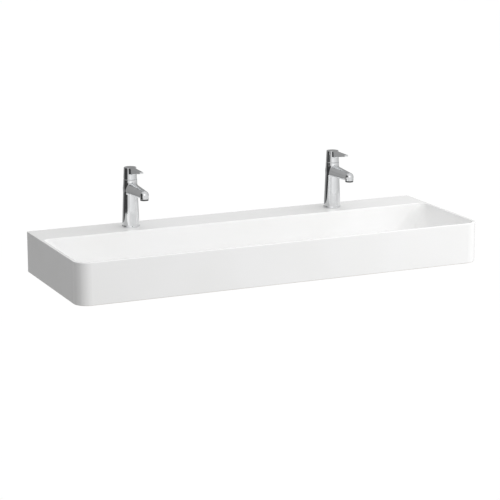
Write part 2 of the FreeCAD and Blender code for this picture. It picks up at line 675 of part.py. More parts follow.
def make_disc_carrier():
    """Carrier on the sliding disc, with the socket for the spindle's ball."""
    top = CARRIER_Z + CARRIER_HEIGHT
    carrier = cylinder(MOVING_DISC_R, CARRIER_Z, top, 0.0, DISC_REST_Y)
    socket = cylinder(BALL_R + MOVING_CLEARANCE, CARRIER_Z + SOCKET_FLOOR, top)
    return single(carrier.cut(socket))


def make_turret():
    """Turning guide with two cheeks that hold the pivot pin."""
    flange = cylinder(CAVITY_R - MOVING_CLEARANCE, TURRET_Z, TURRET_Z + TURRET_FLANGE)
    neck = cylinder(TURRET_NECK_R, TURRET_Z, TURRET_TOP)
    half_slot = SPINDLE_R + MOVING_CLEARANCE
    slot = block(-half_slot, half_slot, -TURRET_SLOT_HALF, TURRET_SLOT_HALF, TURRET_Z, TURRET_TOP)
    pin_hole = pivot_cylinder(PIVOT_R)
    return single(fused(flange, neck).cut([slot, pin_hole]))


def pivot_cylinder(radius):
    """Cylinder along the pivot line, across the turret's neck."""
    half = math.sqrt(TURRET_NECK_R**2 - PIVOT_R**2) - MOVING_CLEARANCE
    return Part.makeCylinder(radius, 2.0 * half, Vector(-half, 0, PIVOT_Z), Vector(1, 0, 0))


def make_spindle():
    """Spindle with a ball at its foot, a pin hole and a square head."""
    square_z = SQUARE_Z - SEAT_Z
    neck_top = TURRET_Z + TURRET_FLANGE
    half = SPINDLE_SQUARE / 2.0
    ball = Part.makeSphere(BALL_R, Vector(0, 0, BALL_Z))
    neck = cylinder(SPINDLE_NECK_R, BALL_Z, neck_top)
    shaft = cylinder(SPINDLE_R, neck_top, square_z)
    head = block(-half, half, -half, half, square_z, square_z + SPINDLE_SQUARE_LENGTH)
    return single(fused(ball, neck, shaft, head).cut(pivot_cylinder(PIVOT_R + RUNNING_CLEARANCE)))


def make_cartridge_nut():
    """Ring nut that holds the cartridge down, notched for a spanner."""
    top = CASE_HEIGHT + NUT_DEPTH
    nut = ring(NUT_R, TURRET_NECK_R + MOVING_CLEARANCE, CASE_HEIGHT, top)
    half_notch = NUT_NOTCH_WIDTH / 2.0
    notch_r = (NUT_R + TURRET_NECK_R) / 2.0
    notches = []
    for k in range(NUT_NOTCHES):
        notch = block(0.0, notch_r, -half_notch, half_notch, top - NUT_NOTCH_DEPTH, top)
        notch.rotate(Vector(0, 0, 0), Vector(0, 0, 1), 360.0 * k / NUT_NOTCHES)
        notches.append(notch)
    return single(nut.cut(notches))


def lever_solid():
    """Flat-topped lever that thins and narrows towards its tip."""
    root_y = -HANDLE_BORE_R
    side = [
        Vector(0, 0.0, HANDLE_TOP),
        Vector(0, -LEVER_REACH, HANDLE_TOP),
        Vector(0, -LEVER_REACH, HANDLE_TOP - LEVER_TIP_THICKNESS),
        Vector(0, root_y, HANDLE_TOP - LEVER_ROOT_THICKNESS),
        Vector(0, 0.0, HANDLE_TOP - LEVER_ROOT_THICKNESS),
    ]
    profile = Part.Face(Part.makePolygon(side + side[:1])).extrude(Vector(LEVER_ROOT_WIDTH, 0, 0))
    profile.translate(Vector(-LEVER_ROOT_WIDTH / 2.0, 0, 0))
    half_root = LEVER_ROOT_WIDTH / 2.0
    half_tip = LEVER_TIP_WIDTH / 2.0
    low = HANDLE_TOP - LEVER_ROOT_THICKNESS - PASS
    plan = [
        Vector(-half_root, 0.0, low),
        Vector(-half_root, root_y, low),
        Vector(-half_tip, -LEVER_REACH, low),
        Vector(half_tip, -LEVER_REACH, low),
        Vector(half_root, root_y, low),
        Vector(half_root, 0.0, low),
    ]
    height = LEVER_ROOT_THICKNESS + 2.0 * PASS
    paddle = Part.Face(Part.makePolygon(plan + plan[:1])).extrude(Vector(0, 0, height))
    tip = [e for e in paddle.Edges if all(abs(v.Point.y + LEVER_REACH) < PASS for v in e.Vertexes)]
    upright = [e for e in tip if abs(e.Vertexes[0].Point.z - e.Vertexes[1].Point.z) > PASS]
    return profile.common(paddle.makeFillet(LEVER_CORNER_R, upright))


def tilt_relief():
    """Space that the body's top face sweeps into when the handle is fully tilted."""
    reach = 2.0 * HANDLE_BASE_R
    relief = block(-reach, reach, -reach, reach, BODY_TOP - reach, BODY_TOP + MOVING_CLEARANCE)
    relief.rotate(Vector(0, 0, PIVOT_HEIGHT), Vector(1, 0, 0), TILT_MAX)
    return relief


def make_handle():
    """Hollow handle: conical sleeve and lever in one casting, with the spindle boss inside."""
    sleeve = turned(
        [
            (0.0, HANDLE_Z),
            (HANDLE_BASE_R, HANDLE_Z),
            (HANDLE_TOP_R, HANDLE_TOP - HANDLE_ROUND),
            (HANDLE_TOP_R - HANDLE_ROUND, HANDLE_TOP),
            (0.0, HANDLE_TOP),
        ]
    )
    handle = fused(sleeve, lever_solid()).cut(cylinder(HANDLE_BORE_R, HANDLE_Z - PASS, BORE_TOP))
    boss = cylinder(HANDLE_BOSS_R, BOSS_Z, BORE_TOP + PASS)
    half = SPINDLE_SQUARE / 2.0 + RUNNING_CLEARANCE
    socket_top = SQUARE_Z + SPINDLE_SQUARE_LENGTH + RUNNING_CLEARANCE
    socket = block(-half, half, -half, half, BOSS_Z, socket_top)
    grub_hole = rear_cylinder(GRUB_R + RUNNING_CLEARANCE, 0.0, HANDLE_BORE_R)
    cover_hole = rear_cylinder(COVER_PLUG_R, HANDLE_BORE_R - PASS, HANDLE_BASE_R + PASS)
    return single(fused(handle, boss).cut([socket, grub_hole, cover_hole, tilt_relief()]))


def rear_cylinder(radius, y0, y1):
    """Level cylinder towards the wall at the height of the grub screw."""
    return Part.makeCylinder(radius, y1 - y0, Vector(0, y0, GRUB_Z), Vector(0, 1, 0))


def make_grub_screw():
    """Grub screw that pins the handle to the spindle, with its hexagonal socket."""
    start = SPINDLE_SQUARE / 2.0 + RUNNING_CLEARANCE
    screw = rear_cylinder(GRUB_R, start, start + GRUB_LENGTH)
    key = hexagon(GRUB_R, 0.0, GRUB_LENGTH / 2.0)
    key.rotate(Vector(0, 0, 0), Vector(1, 0, 0), 90.0)
    key.translate(Vector(0, start + GRUB_LENGTH, GRUB_Z))
    return single(screw.cut(key))


def make_cover_plug():
    """Small plug that covers the screw hole at the back of the handle."""
    plug = rear_cylinder(COVER_PLUG_R - RUNNING_CLEARANCE, HANDLE_BASE_R - COVER_PLUG_LENGTH, HANDLE_BASE_R)
    sleeve = Part.makeCone(HANDLE_BASE_R, HANDLE_TOP_R, HANDLE_HEIGHT, Vector(0, 0, HANDLE_Z))
    return single(plug.common(sleeve))


def cartridge_pieces():
    """Pieces of one cartridge, lifted from the seat's height to the mixer's frame."""
    pieces = {
        "cartridge_case": make_cartridge_case(),
        "port_seals": make_port_seals(),
        "fixed_disc": make_fixed_disc(),
        "moving_disc": make_moving_disc(),
        "disc_carrier": make_disc_carrier(),
        "turret": make_turret(),
        "pivot_pin": pivot_cylinder(PIVOT_R),
        "spindle": make_spindle(),
        "cartridge_nut": make_cartridge_nut(),
    }
    for shape in pieces.values():
        shape.translate(Vector(0, 0, SEAT_Z))
    return pieces


def tap_pieces():
    """Pieces of one mixer round its own axis, by name."""
    seal_r = SKIRT_R - FIT_CLEARANCE
    stud_top = BLOCK_Z + STUD_GRIP - RUNNING_CLEARANCE
    pieces = {
        "tap_body": make_tap_body(),
        "base_seal": ring(seal_r, TAP_HOLE_R + BASE_SEAL_OVERLAP, 0.0, BASE_SEAL_THICKNESS),
        "fixing_stud": cylinder(STUD_R, CLAMP_NUT_Z - STUD_TAIL, stud_top, 0.0, STUD_Y),
        "clamp_pad": clamp_layer(PAD_Z, -DECK_THICKNESS),
        "clamp_plate": clamp_layer(PLATE_Z, PAD_Z),
        "clamp_nut": make_clamp_nut(),
        "aerator_housing": make_aerator_housing(),
        "aerator_insert": make_aerator_insert(),
        "aerator_seal": ring(AERATOR_R, AERATOR_SEAL_BORE_R, AERATOR_TOP, CHAMBER_TOP, 0.0, -SPOUT_REACH),
        "handle": make_handle(),
        "handle_screw": make_grub_screw(),
        "handle_plug": make_cover_plug(),
    }
    pieces.update(cartridge_pieces())
    return pieces


def all_pieces():
    """Every piece of the basin in its place, by node name."""
    pieces = {"basin": make_basin()}
    for name, shape in waste_pieces().items():
        shape.translate(Vector(0, DRAIN_Y, DRAIN_Z))
        pieces[name] = shape
    for name, shape in tap_pieces().items():
        for side, x in TAP_PLACES.items():
            placed = shape.copy()
            placed.translate(Vector(x, TAP_Y, RIM_Z))
            pieces[f"{side}_{name}"] = placed
    return pieces


def main():
    """Write one file per piece."""
    os.makedirs("parts", exist_ok=True)
    for name, shape in all_pieces().items():
        shape.exportStep(f"parts/{name}.step")


if __name__ == "__main__":
    main()
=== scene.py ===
"""Looks of a wide wall-hung hand basin with two lever mixers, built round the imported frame.

The frame is in metres: X to the right, Y towards the wall, Z up, with the origin on the wall face.
Sizes of a piece are in millimetres, as on a drawing, with the piece's own origin on its axis.
"""

import json
import logging
import math
from collections.abc import Callable, Sequence
from dataclasses import dataclass
from enum import Enum
from itertools import product

import bpy
import numpy as np
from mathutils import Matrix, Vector

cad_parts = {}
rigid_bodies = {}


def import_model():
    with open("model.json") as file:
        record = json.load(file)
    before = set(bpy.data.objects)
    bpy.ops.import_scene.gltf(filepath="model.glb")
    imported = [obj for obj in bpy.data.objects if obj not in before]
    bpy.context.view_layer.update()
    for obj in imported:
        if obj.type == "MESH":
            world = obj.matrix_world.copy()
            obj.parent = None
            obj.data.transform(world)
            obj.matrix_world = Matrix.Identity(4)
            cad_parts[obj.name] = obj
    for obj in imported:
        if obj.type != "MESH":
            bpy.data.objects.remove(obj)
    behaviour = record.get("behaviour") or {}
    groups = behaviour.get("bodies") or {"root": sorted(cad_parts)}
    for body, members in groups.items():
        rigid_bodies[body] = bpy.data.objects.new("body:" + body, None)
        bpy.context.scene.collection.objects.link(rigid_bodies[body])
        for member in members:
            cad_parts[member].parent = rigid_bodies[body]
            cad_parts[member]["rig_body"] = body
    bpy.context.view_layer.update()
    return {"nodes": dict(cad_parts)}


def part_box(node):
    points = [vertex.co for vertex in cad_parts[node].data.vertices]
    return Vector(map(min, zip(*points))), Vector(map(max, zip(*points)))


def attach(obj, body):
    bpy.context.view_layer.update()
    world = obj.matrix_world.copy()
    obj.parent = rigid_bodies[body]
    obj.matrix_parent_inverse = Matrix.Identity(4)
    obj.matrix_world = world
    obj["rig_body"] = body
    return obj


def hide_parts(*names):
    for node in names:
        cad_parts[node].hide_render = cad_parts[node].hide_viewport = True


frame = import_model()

LOG = logging.getLogger("hand_basin")
MM = 0.001
TINY = 1e-9  # least length that anything is divided by
SOFT, RICH = 2.0, 4.0  # octaves of a soft and of a rich noise pattern
FINE_EDGE = 0.2  # round of a fine turned edge
PAST_AXIS = -1.0  # radius at which a turned hollow's outline closes, beyond the axis
WHITE = (1.0, 1.0, 1.0)

Array = np.ndarray
Field = Callable[[Array, Array, Array], Array]
Outline = Sequence[tuple[float, float]]
Profile = Sequence[tuple[float, float, float]]
Point = tuple[float, float, float]
Colour = tuple[float, float, float]
Socket = bpy.types.NodeSocket


class Slot(Enum):
    """Material slots of the part's record."""

    GLAZE = "basin_glaze"
    CHROME = "chrome"
    BRASS = "brass"
    STEEL = "steel"
    RUBBER = "rubber"
    PLASTIC = "grey_plastic"
    DISC = "disc_ceramic"


class Side(Enum):
    """The two mixers, by the word that their nodes' names start with."""

    LEFT = "left"
    RIGHT = "right"


class NodeSheet:
    """A node tree, with short ways to add what the finishes and the lights need."""

    def __init__(self, tree: bpy.types.NodeTree, coordinates: str = "Object") -> None:
        """Start work on a tree.

        Args:
            tree: Tree of a material or a world.
            coordinates: Which coordinates the patterns follow.
        """
        self.tree = tree
        self.place = self.add("TexCoord").outputs[coordinates]

    @property
    def shader(self) -> bpy.types.Node:
        """The shader that a new material starts with."""
        return self.tree.nodes["Principled BSDF"]

    def add(self, kind: str) -> bpy.types.Node:
        """Add a shader node of a kind."""
        return self.tree.nodes.new(f"ShaderNode{kind}")

    def join(self, source: Socket, target: Socket) -> None:
        """Link two sockets."""
        self.tree.links.new(source, target)

    def set(self, **values: float) -> None:
        """Set plain values on the shader's own sockets, by name."""
        for name, value in values.items():
            self.shader.inputs[name].default_value = value

    def noise(self, waves: float, detail: float = 3.0, stretch: Point = (1.0, 1.0, 1.0)) -> Socket:
        """Add a noise pattern fixed to the piece.

        Args:
            waves: Waves per metre.
            detail: Octaves of the pattern.
            stretch: Factors on the three directions.

        Returns:
            The pattern's value.
        """
        spread = self.add("Mapping")
        spread.inputs["Scale"].default_value = stretch
        self.join(self.place, spread.inputs["Vector"])
        pattern = self.add("TexNoise")
        pattern.inputs["Scale"].default_value = waves
        pattern.inputs["Detail"].default_value = detail
        self.join(spread.outputs["Vector"], pattern.inputs["Vector"])
        return pattern.outputs["Fac"]

    def range(
        self,
        source: Socket,
        low: float = 0.0,
        high: float = 1.0,
        start: float = 0.3,
        end: float = 0.7,
    ) -> Socket:
        """Map a value onto another range, easing into both ends.

        Args:
            source: Value to map.
            low: Result at the start.
            high: Result at the end.
            start: Value that gives the low result.
            end: Value that gives the high result.

        Returns:
            The mapped value.
        """
        node = self.add("MapRange")
        node.interpolation_type = "SMOOTHSTEP"
        ends = {"From Min": start, "From Max": end, "To Min": low, "To Max": high}
        for name, value in ends.items():
            node.inputs[name].default_value = value
        self.join(source, node.inputs["Value"])
        return node.outputs["Result"]

    def mix(self, share: Socket, first: Colour | Socket, second: Colour | Socket) -> Socket:
        """Mix two colours by a varying share.

        Args:
            share: Share of the second colour.
            first: Colour at share 0.
            second: Colour at share 1.

        Returns:
            The mixed colour.
        """
        node = self.add("Mix")
        node.data_type = "RGBA"
        self.join(share, node.inputs["Factor"])
        for name, value in (("A", first), ("B", second)):
            socket = [s for s in node.inputs if s.name == name and s.type == "RGBA"][0]
            if isinstance(value, tuple):
                socket.default_value = (*value, 1.0)
            else:
                self.join(value, socket)
        return [s for s in node.outputs if s.type == "RGBA"][0]

    def math(self, operation: str, *terms: float | Socket) -> Socket:
        """Combine values.

        Args:
            operation: Name of the operation.
            terms: Sockets or numbers, in order.

        Returns:
            The result.
        """
        node = self.add("Math")
        node.operation = operation
        for socket, term in zip(node.inputs, terms):
            if isinstance(term, (int, float)):
                socket.default_value = term
            else:
                self.join(term, socket)
        return node.outputs["Value"]

    def axes(self, vector: Socket) -> tuple[Socket, ...]:
        """Split a vector into its three parts."""
        node = self.add("SeparateXYZ")
        self.join(vector, node.inputs["Vector"])
        return tuple(node.outputs)

    def relief(self, height: Socket, depth: float, strength: float = 1.0) -> None:
        """Give the shader a bump.

        Args:
            height: Height pattern from 0 to 1.
            depth: Depth of the pattern in metres.
            strength: Share of the bump that shows.
        """
        node = self.add("Bump")
        node.inputs["Strength"].default_value = strength
        node.inputs["Distance"].default_value = depth
        self.join(height, node.inputs["Height"])
        self.join(node.outputs["Normal"], self.shader.inputs["Normal"])

    def colour(self, source: Socket) -> None:
        """Link a colour to the shader."""
        self.join(source, self.shader.inputs["Base Color"])

    def roughness(self, source: Socket) -> None:
        """Link a roughness to the shader."""
        self.join(source, self.shader.inputs["Roughness"])


@dataclass(frozen=True)
class Finish:
    """What all finishes share: the slot and one material made on first use."""

    slot: Slot

    def paint(self, sheet: NodeSheet) -> None:
        """Fill in the material; each finish has its own way."""
        raise NotImplementedError

    def material(self) -> bpy.types.Material:
        """Give the finish's material, made once.

        Returns:
            The material.
        """
        name = f"{type(self).__name__.lower()}_{self.slot.value}"
        found = bpy.data.materials.get(name)
        if found is None:
            found = bpy.data.materials.new(name)
            found.use_nodes = True
            self.paint(NodeSheet(found.node_tree))
        return found


@dataclass(frozen=True)
class Glaze(Finish):
    """White sanitary glaze, with bare fired clay at the wall, on the foot and underneath."""

    slot: Slot = Slot.GLAZE
    white: Colour = (0.905, 0.905, 0.905)
    white_thin: Colour = (0.885, 0.885, 0.88)
    clay: Colour = (0.66, 0.61, 0.54)
    clay_dark: Colour = (0.56, 0.51, 0.44)
    wall_edge: float = -0.0009
    wall_blur: float = 0.0002
    wall_swing: float = 0.0006
    foot_edge: tuple[float, float] = (-0.0595, -0.0588)
    looks_down: tuple[float, float] = (-0.30, -0.12)
    grain_band: tuple[float, float] = (0.35, 0.75)
    gloss: tuple[float, float] = (0.10, 0.16)
    clay_dull: float = 0.62
    ripple: float = 0.2
    grit: float = 0.8
    depth: float = 0.00012
    ior: float = 1.52
    edge_waves: float = 55.0
    tone_waves: float = 5.0
    grain_waves: float = 900.0
    shine_waves: float = 18.0
    ripple_waves: float = 42.0

    def paint(self, sheet: NodeSheet) -> None:
        """Lay the glaze, and bare clay at the wall, on the foot and on all faces that look down.

        Args:
            sheet: Material to fill in.
        """
        _, y, z = sheet.axes(sheet.place)
        _, _, up = sheet.axes(sheet.add("NewGeometry").outputs["Normal"])
        swing = sheet.noise(self.edge_waves, RICH)
        swing = sheet.range(swing, -self.wall_swing, self.wall_swing)
        wall = (self.wall_edge - self.wall_blur, self.wall_edge + self.wall_blur)
        to_wall = sheet.range(sheet.math("ADD", y, swing), 0.0, 1.0, *wall)
        to_foot = sheet.range(z, 1.0, 0.0, *self.foot_edge)
        under = sheet.range(up, 1.0, 0.0, *self.looks_down)
        bare = sheet.math("MAXIMUM", sheet.math("MAXIMUM", to_wall, to_foot), under)
        tone = sheet.range(sheet.noise(self.tone_waves, SOFT))
        glaze = sheet.mix(tone, self.white, self.white_thin)
        grains = sheet.range(sheet.noise(self.grain_waves, SOFT), 0.0, 1.0, *self.grain_band)
        clay = sheet.mix(grains, self.clay, self.clay_dark)
        sheet.colour(sheet.mix(bare, glaze, clay))
        shine = sheet.range(sheet.noise(self.shine_waves), *self.gloss)
        dull = sheet.math("MULTIPLY", bare, self.clay_dull)
        sheet.roughness(sheet.math("ADD", shine, dull))
        wave = sheet.math("MULTIPLY", sheet.noise(self.ripple_waves, SOFT), self.ripple)
        grit = sheet.math("MULTIPLY", grains, sheet.math("MULTIPLY", bare, self.grit))
        sheet.relief(sheet.math("ADD", wave, grit), self.depth)
        sheet.set(IOR=self.ior)


@dataclass(frozen=True)
class Plate(Finish):
    """Bright plated metal, with faint wiping marks in its shine."""

    slot: Slot = Slot.CHROME
    bright: Colour = (0.81, 0.82, 0.83)
    dim: Colour = (0.77, 0.78, 0.79)
    gloss: tuple[float, float] = (0.05, 0.10)
    wiped: Point = (1.0, 1.0, 0.25)
    depth: float = 0.00002
    depth_share: float = 0.15
    tone_waves: float = 30.0
    wipe_waves: float = 75.0
    dent_waves: float = 160.0

    def paint(self, sheet: NodeSheet) -> None:
        """Lay the plating with a soft change of tone and shine.

        Args:
            sheet: Material to fill in.
        """
        tone = sheet.range(sheet.noise(self.tone_waves, RICH))
        sheet.colour(sheet.mix(tone, self.bright, self.dim))
        marks = sheet.noise(self.wipe_waves, detail=5.0, stretch=self.wiped)
        sheet.roughness(sheet.range(marks, *self.gloss))
        sheet.relief(sheet.noise(self.dent_waves, SOFT), self.depth, self.depth_share)
        sheet.set(Metallic=1.0)


@dataclass(frozen=True)
class Metal(Finish):
    """Bare turned or rolled metal with drawn lines and darker patches."""

    slot: Slot
    light: Colour
    dark: Colour
    gloss: tuple[float, float] = (0.25, 0.42)
    drawn: Point = (1.0, 1.0, 7.0)
    depth: float = 0.00003
    depth_share: float = 0.6
    patch_waves: float = 140.0
    line_waves: float = 420.0

    def paint(self, sheet: NodeSheet) -> None:
        """Lay the metal with fine lines across its height.

        Args:
            sheet: Material to fill in.
        """
        patches = sheet.range(sheet.noise(self.patch_waves, RICH))
        sheet.colour(sheet.mix(patches, self.light, self.dark))
        lines = sheet.noise(self.line_waves, stretch=self.drawn)
        sheet.roughness(sheet.range(lines, *self.gloss))
        sheet.relief(lines, self.depth, self.depth_share)
        sheet.set(Metallic=1.0)


@dataclass(frozen=True)
class Moulded(Finish):
    """Moulded rubber, plastic or pressed ceramic with a fine grain."""

    slot: Slot
    light: Colour
    dark: Colour
    gloss: tuple[float, float]
    grain: float
    depth: float
    depth_share: float = 0.8
    shine_size: float = 6.0

    def paint(self, sheet: NodeSheet) -> None:
        """Lay the colour, grain and shine of the moulding.

        Args:
            sheet: Material to fill in.
        """
        grain = sheet.noise(self.grain, RICH)
        sheet.colour(sheet.mix(sheet.range(grain), self.light, self.dark))
        shine = sheet.noise(self.grain / self.shine_size, SOFT)
        sheet.roughness(sheet.range(shine, *self.gloss))
        sheet.relief(grain, self.depth, self.depth_share)


FINISHES: dict[Slot, Finish] = {
    Slot.GLAZE: Glaze(),
    Slot.CHROME: Plate(),
    Slot.BRASS: Metal(Slot.BRASS, (0.72, 0.53, 0.25), (0.58, 0.40, 0.17)),
    Slot.STEEL: Metal(Slot.STEEL, (0.60, 0.60, 0.59), (0.46, 0.46, 0.46)),
    Slot.RUBBER: Moulded(
        Slot.RUBBER, (0.020, 0.020, 0.021), (0.034, 0.034, 0.034), (0.55, 0.75), 1800.0, 0.00006
    ),
    Slot.PLASTIC: Moulded(
        Slot.PLASTIC, (0.060, 0.062, 0.064), (0.050, 0.052, 0.054), (0.34, 0.48), 2600.0, 0.00003
    ),
    Slot.DISC: Moulded(
        Slot.DISC, (0.80, 0.78, 0.73), (0.74, 0.72, 0.67), (0.16, 0.26), 1400.0, 0.00001
    ),
}


def size_of(node: str) -> Vector:
    """Give the three sizes of a node's box in millimetres."""
    low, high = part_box(node)
    return (high - low) / MM


def foot_of(node: str) -> Vector:
    """Give the middle of a node's box at its lowest height, in metres."""
    low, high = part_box(node)
    return Vector(((low.x + high.x) / 2.0, (low.y + high.y) / 2.0, low.z))


def inset(outline: Outline, amount: float) -> list[tuple[float, float]]:
    """Shrink a closed outline evenly.

    Args:
        outline: Corner points in order.
        amount: Distance by which each side moves inwards.

    Returns:
        The corners of the smaller outline.
    """
    points = np.array(outline, float)
    after = np.roll(points, -1, 0)
    area = np.sum(points[:, 0] * after[:, 1] - points[:, 1] * after[:, 0])
    unit = (after - points) / np.linalg.norm(after - points, axis=1)[:, None]
    inward = math.copysign(1.0, area) * np.stack((-unit[:, 1], unit[:, 0]), 1)
    before = np.roll(inward, 1, 0)
    share = 1.0 + np.sum(inward * before, 1)
    return [tuple(p) for p in points + (inward + before) * (amount / share)[:, None]]


def outline_distance(u: Array, v: Array, outline: Outline) -> Array:
    """Measure the distance to a closed outline, negative inside.

    Args:
        u: First coordinates.
        v: Second coordinates.
        outline: Corner points in order.

    Returns:
        The signed distances.
    """
    nearest = np.full(u.shape, np.inf)
    inside = np.zeros(u.shape, bool)
    corners = list(outline)
    for (u0, v0), (u1, v1) in zip(corners, corners[1:] + corners[:1]):
        du, dv = u1 - u0, v1 - v0
        along = np.clip(((u - u0) * du + (v - v0) * dv) / (du * du + dv * dv), 0.0, 1.0)
        nearest = np.minimum(nearest, (u - u0 - along * du) ** 2 + (v - v0 - along * dv) ** 2)
        if dv:
            crossed = (v0 > v) != (v1 > v)
            inside ^= crossed & (u < u0 + (v - v0) * du / dv)
    return np.where(inside, -1.0, 1.0) * np.sqrt(nearest)


def soft_outline(u: Array, v: Array, outline: Outline, radius: float) -> Array:
    """Measure the distance to an outline whose corners are rounded."""
    return outline_distance(u, v, inset(outline, radius)) - radius


def melt(first: Array, second: Array, radius: float) -> Array:
    """Join two solids with a hollow fillet."""
    share = np.clip(radius - np.abs(first - second), 0.0, None) / radius
    return np.minimum(first, second) - share * share * radius / 4.0


def crop(first: Array, second: Array, radius: float) -> Array:
    """Keep what two solids share, with a rounded edge."""
    a, b = first + radius, second + radius
    beyond = np.hypot(np.maximum(a, 0.0), np.maximum(b, 0.0))
    return np.minimum(np.maximum(a, b), 0.0) + beyond - radius


def shaded_mesh(
    name: str, points: Array, faces: Sequence[Sequence[int]], normals: Array
) -> bpy.types.Mesh:
    """Make a smooth mesh in metres.

    Args:
        name: Name of the mesh.
        points: Places in millimetres, one row each.
        faces: Point numbers of each face, turned outwards.
        normals: Direction of the true surface at each point.

    Returns:
        The mesh, shaded by these directions.
    """
    made = bpy.data.meshes.new(name)
    made.from_pydata((points * MM).tolist(), [], faces)
    made.shade_smooth()
    unit = normals / np.maximum(np.linalg.norm(normals, axis=1), TINY)[:, None]
    made.normals_split_custom_set_from_vertices(unit.tolist())
    return made


@dataclass(frozen=True)
class Casting:
    """A solid given by a distance field in millimetres and meshed on a cubic grid."""

    field: Field
    low: Point
    high: Point
    step: float
    probe: float = 0.04
    settle_rounds: int = 5
    settle_share: float = 0.7
    least_slope: float = 0.05

    def slope(self, points: Array) -> Array:
        """Measure the field's gradient.

        Args:
            points: Places, one row each.

        Returns:
            One gradient per row.
        """
        parts = []
        for shift in self.probe * np.eye(3):
            ahead, back = points + shift, points - shift
            parts.append((self.field(*ahead.T) - self.field(*back.T)) / (2.0 * self.probe))
        return np.stack(parts, 1)

    def settle(self, points: Array) -> Array:
        """Move points onto the surface.

        Args:
            points: Places near the surface.

        Returns:
            The places on the surface.
        """
        most = self.settle_share * self.step
        for _ in range(self.settle_rounds):
            slope = self.slope(points)
            size = np.maximum(np.sum(slope * slope, 1), self.least_slope)
            move = np.clip(self.field(*points.T) / size, -most, most)
            points = points - slope * move[:, None]
        return points

    def mesh(self, name: str) -> bpy.types.Mesh:
        """Make the closed mesh of the casting.

        Args:
            name: Name of the mesh.

        Returns:
            The mesh, shaded by the field's own slope.
        """
        axes = [np.arange(a, b + self.step, self.step) for a, b in zip(self.low, self.high)]
        inside = self.field(*np.meshgrid(*axes, indexing="ij")) < 0.0
        cells = np.array(inside.shape) - 1
        full = np.zeros(cells, int)
        corners = list(product((0, 1), repeat=3))
        for corner in corners:
            full += inside[tuple(slice(c, c + n) for c, n in zip(corner, cells))]
        mixed = (full > 0) & (full < len(corners))
        number = np.full(mixed.shape, -1)
        number[mixed] = np.arange(np.count_nonzero(mixed))
        points = self.settle(np.array(self.low) + (np.argwhere(mixed) + 0.5) * self.step)
        faces = np.concatenate([self.quads(inside, number, axis) for axis in range(3)])
        return shaded_mesh(name, points, faces.tolist(), self.slope(points))

    def quads(self, inside: Array, number: Array, axis: int) -> Array:
        """Find the faces that cross the grid lines of one direction.

        Args:
            inside: Which grid points lie in the solid.
            number: Number of each cell's mesh point.
            axis: Direction of the grid lines.

        Returns:
            Four point numbers per face, turned outwards.
        """
        first, second = (axis + 1) % 3, (axis + 2) % 3
        keep = [slice(1, -1)] * 3
        keep[axis] = slice(None)
        line = inside[tuple(keep)]
        low = np.take(line, range(line.shape[axis] - 1), axis)
        high = np.take(line, range(1, line.shape[axis]), axis)
        at = np.argwhere(low != high)
        outward = low[tuple(at.T)]
        at[:, first] += 1
        at[:, second] += 1
        a, b = np.eye(3, dtype=int)[first], np.eye(3, dtype=int)[second]
        ring = [number[tuple((at - shift).T)] for shift in (0 * a, a, a + b, b)]
        faces = np.stack(ring, 1)
        faces[~outward] = faces[~outward][:, ::-1]
        return faces


@dataclass(frozen=True)
class Thread:
    """Screw thread cut into an upright turned face between two heights."""

    low: float
    high: float
    pitch: float
    depth: float
    steps: int = 8

    def levels(self) -> Array:
        """Give the heights that show the thread's shape."""
        return np.arange(self.low, self.high, self.pitch / self.steps)

    def cut(self, z: Array, turn: Array) -> tuple[Array, Array, Array]:
        """Measure the cut.

        Args:
            z: Heights.
            turn: Angles round the axis.

        Returns:
            Depth of the cut, its slope with the height and its slope with the angle.
        """
        fade = np.clip(np.minimum(z - self.low, self.high - z) / self.pitch, 0.0, 1.0)
        half = self.depth / 2.0 * fade
        rate = 2.0 * math.pi / self.pitch
        phase = rate * z - turn
        return half * (1.0 - np.cos(phase)), half * rate * np.sin(phase), -half * np.sin(phase)


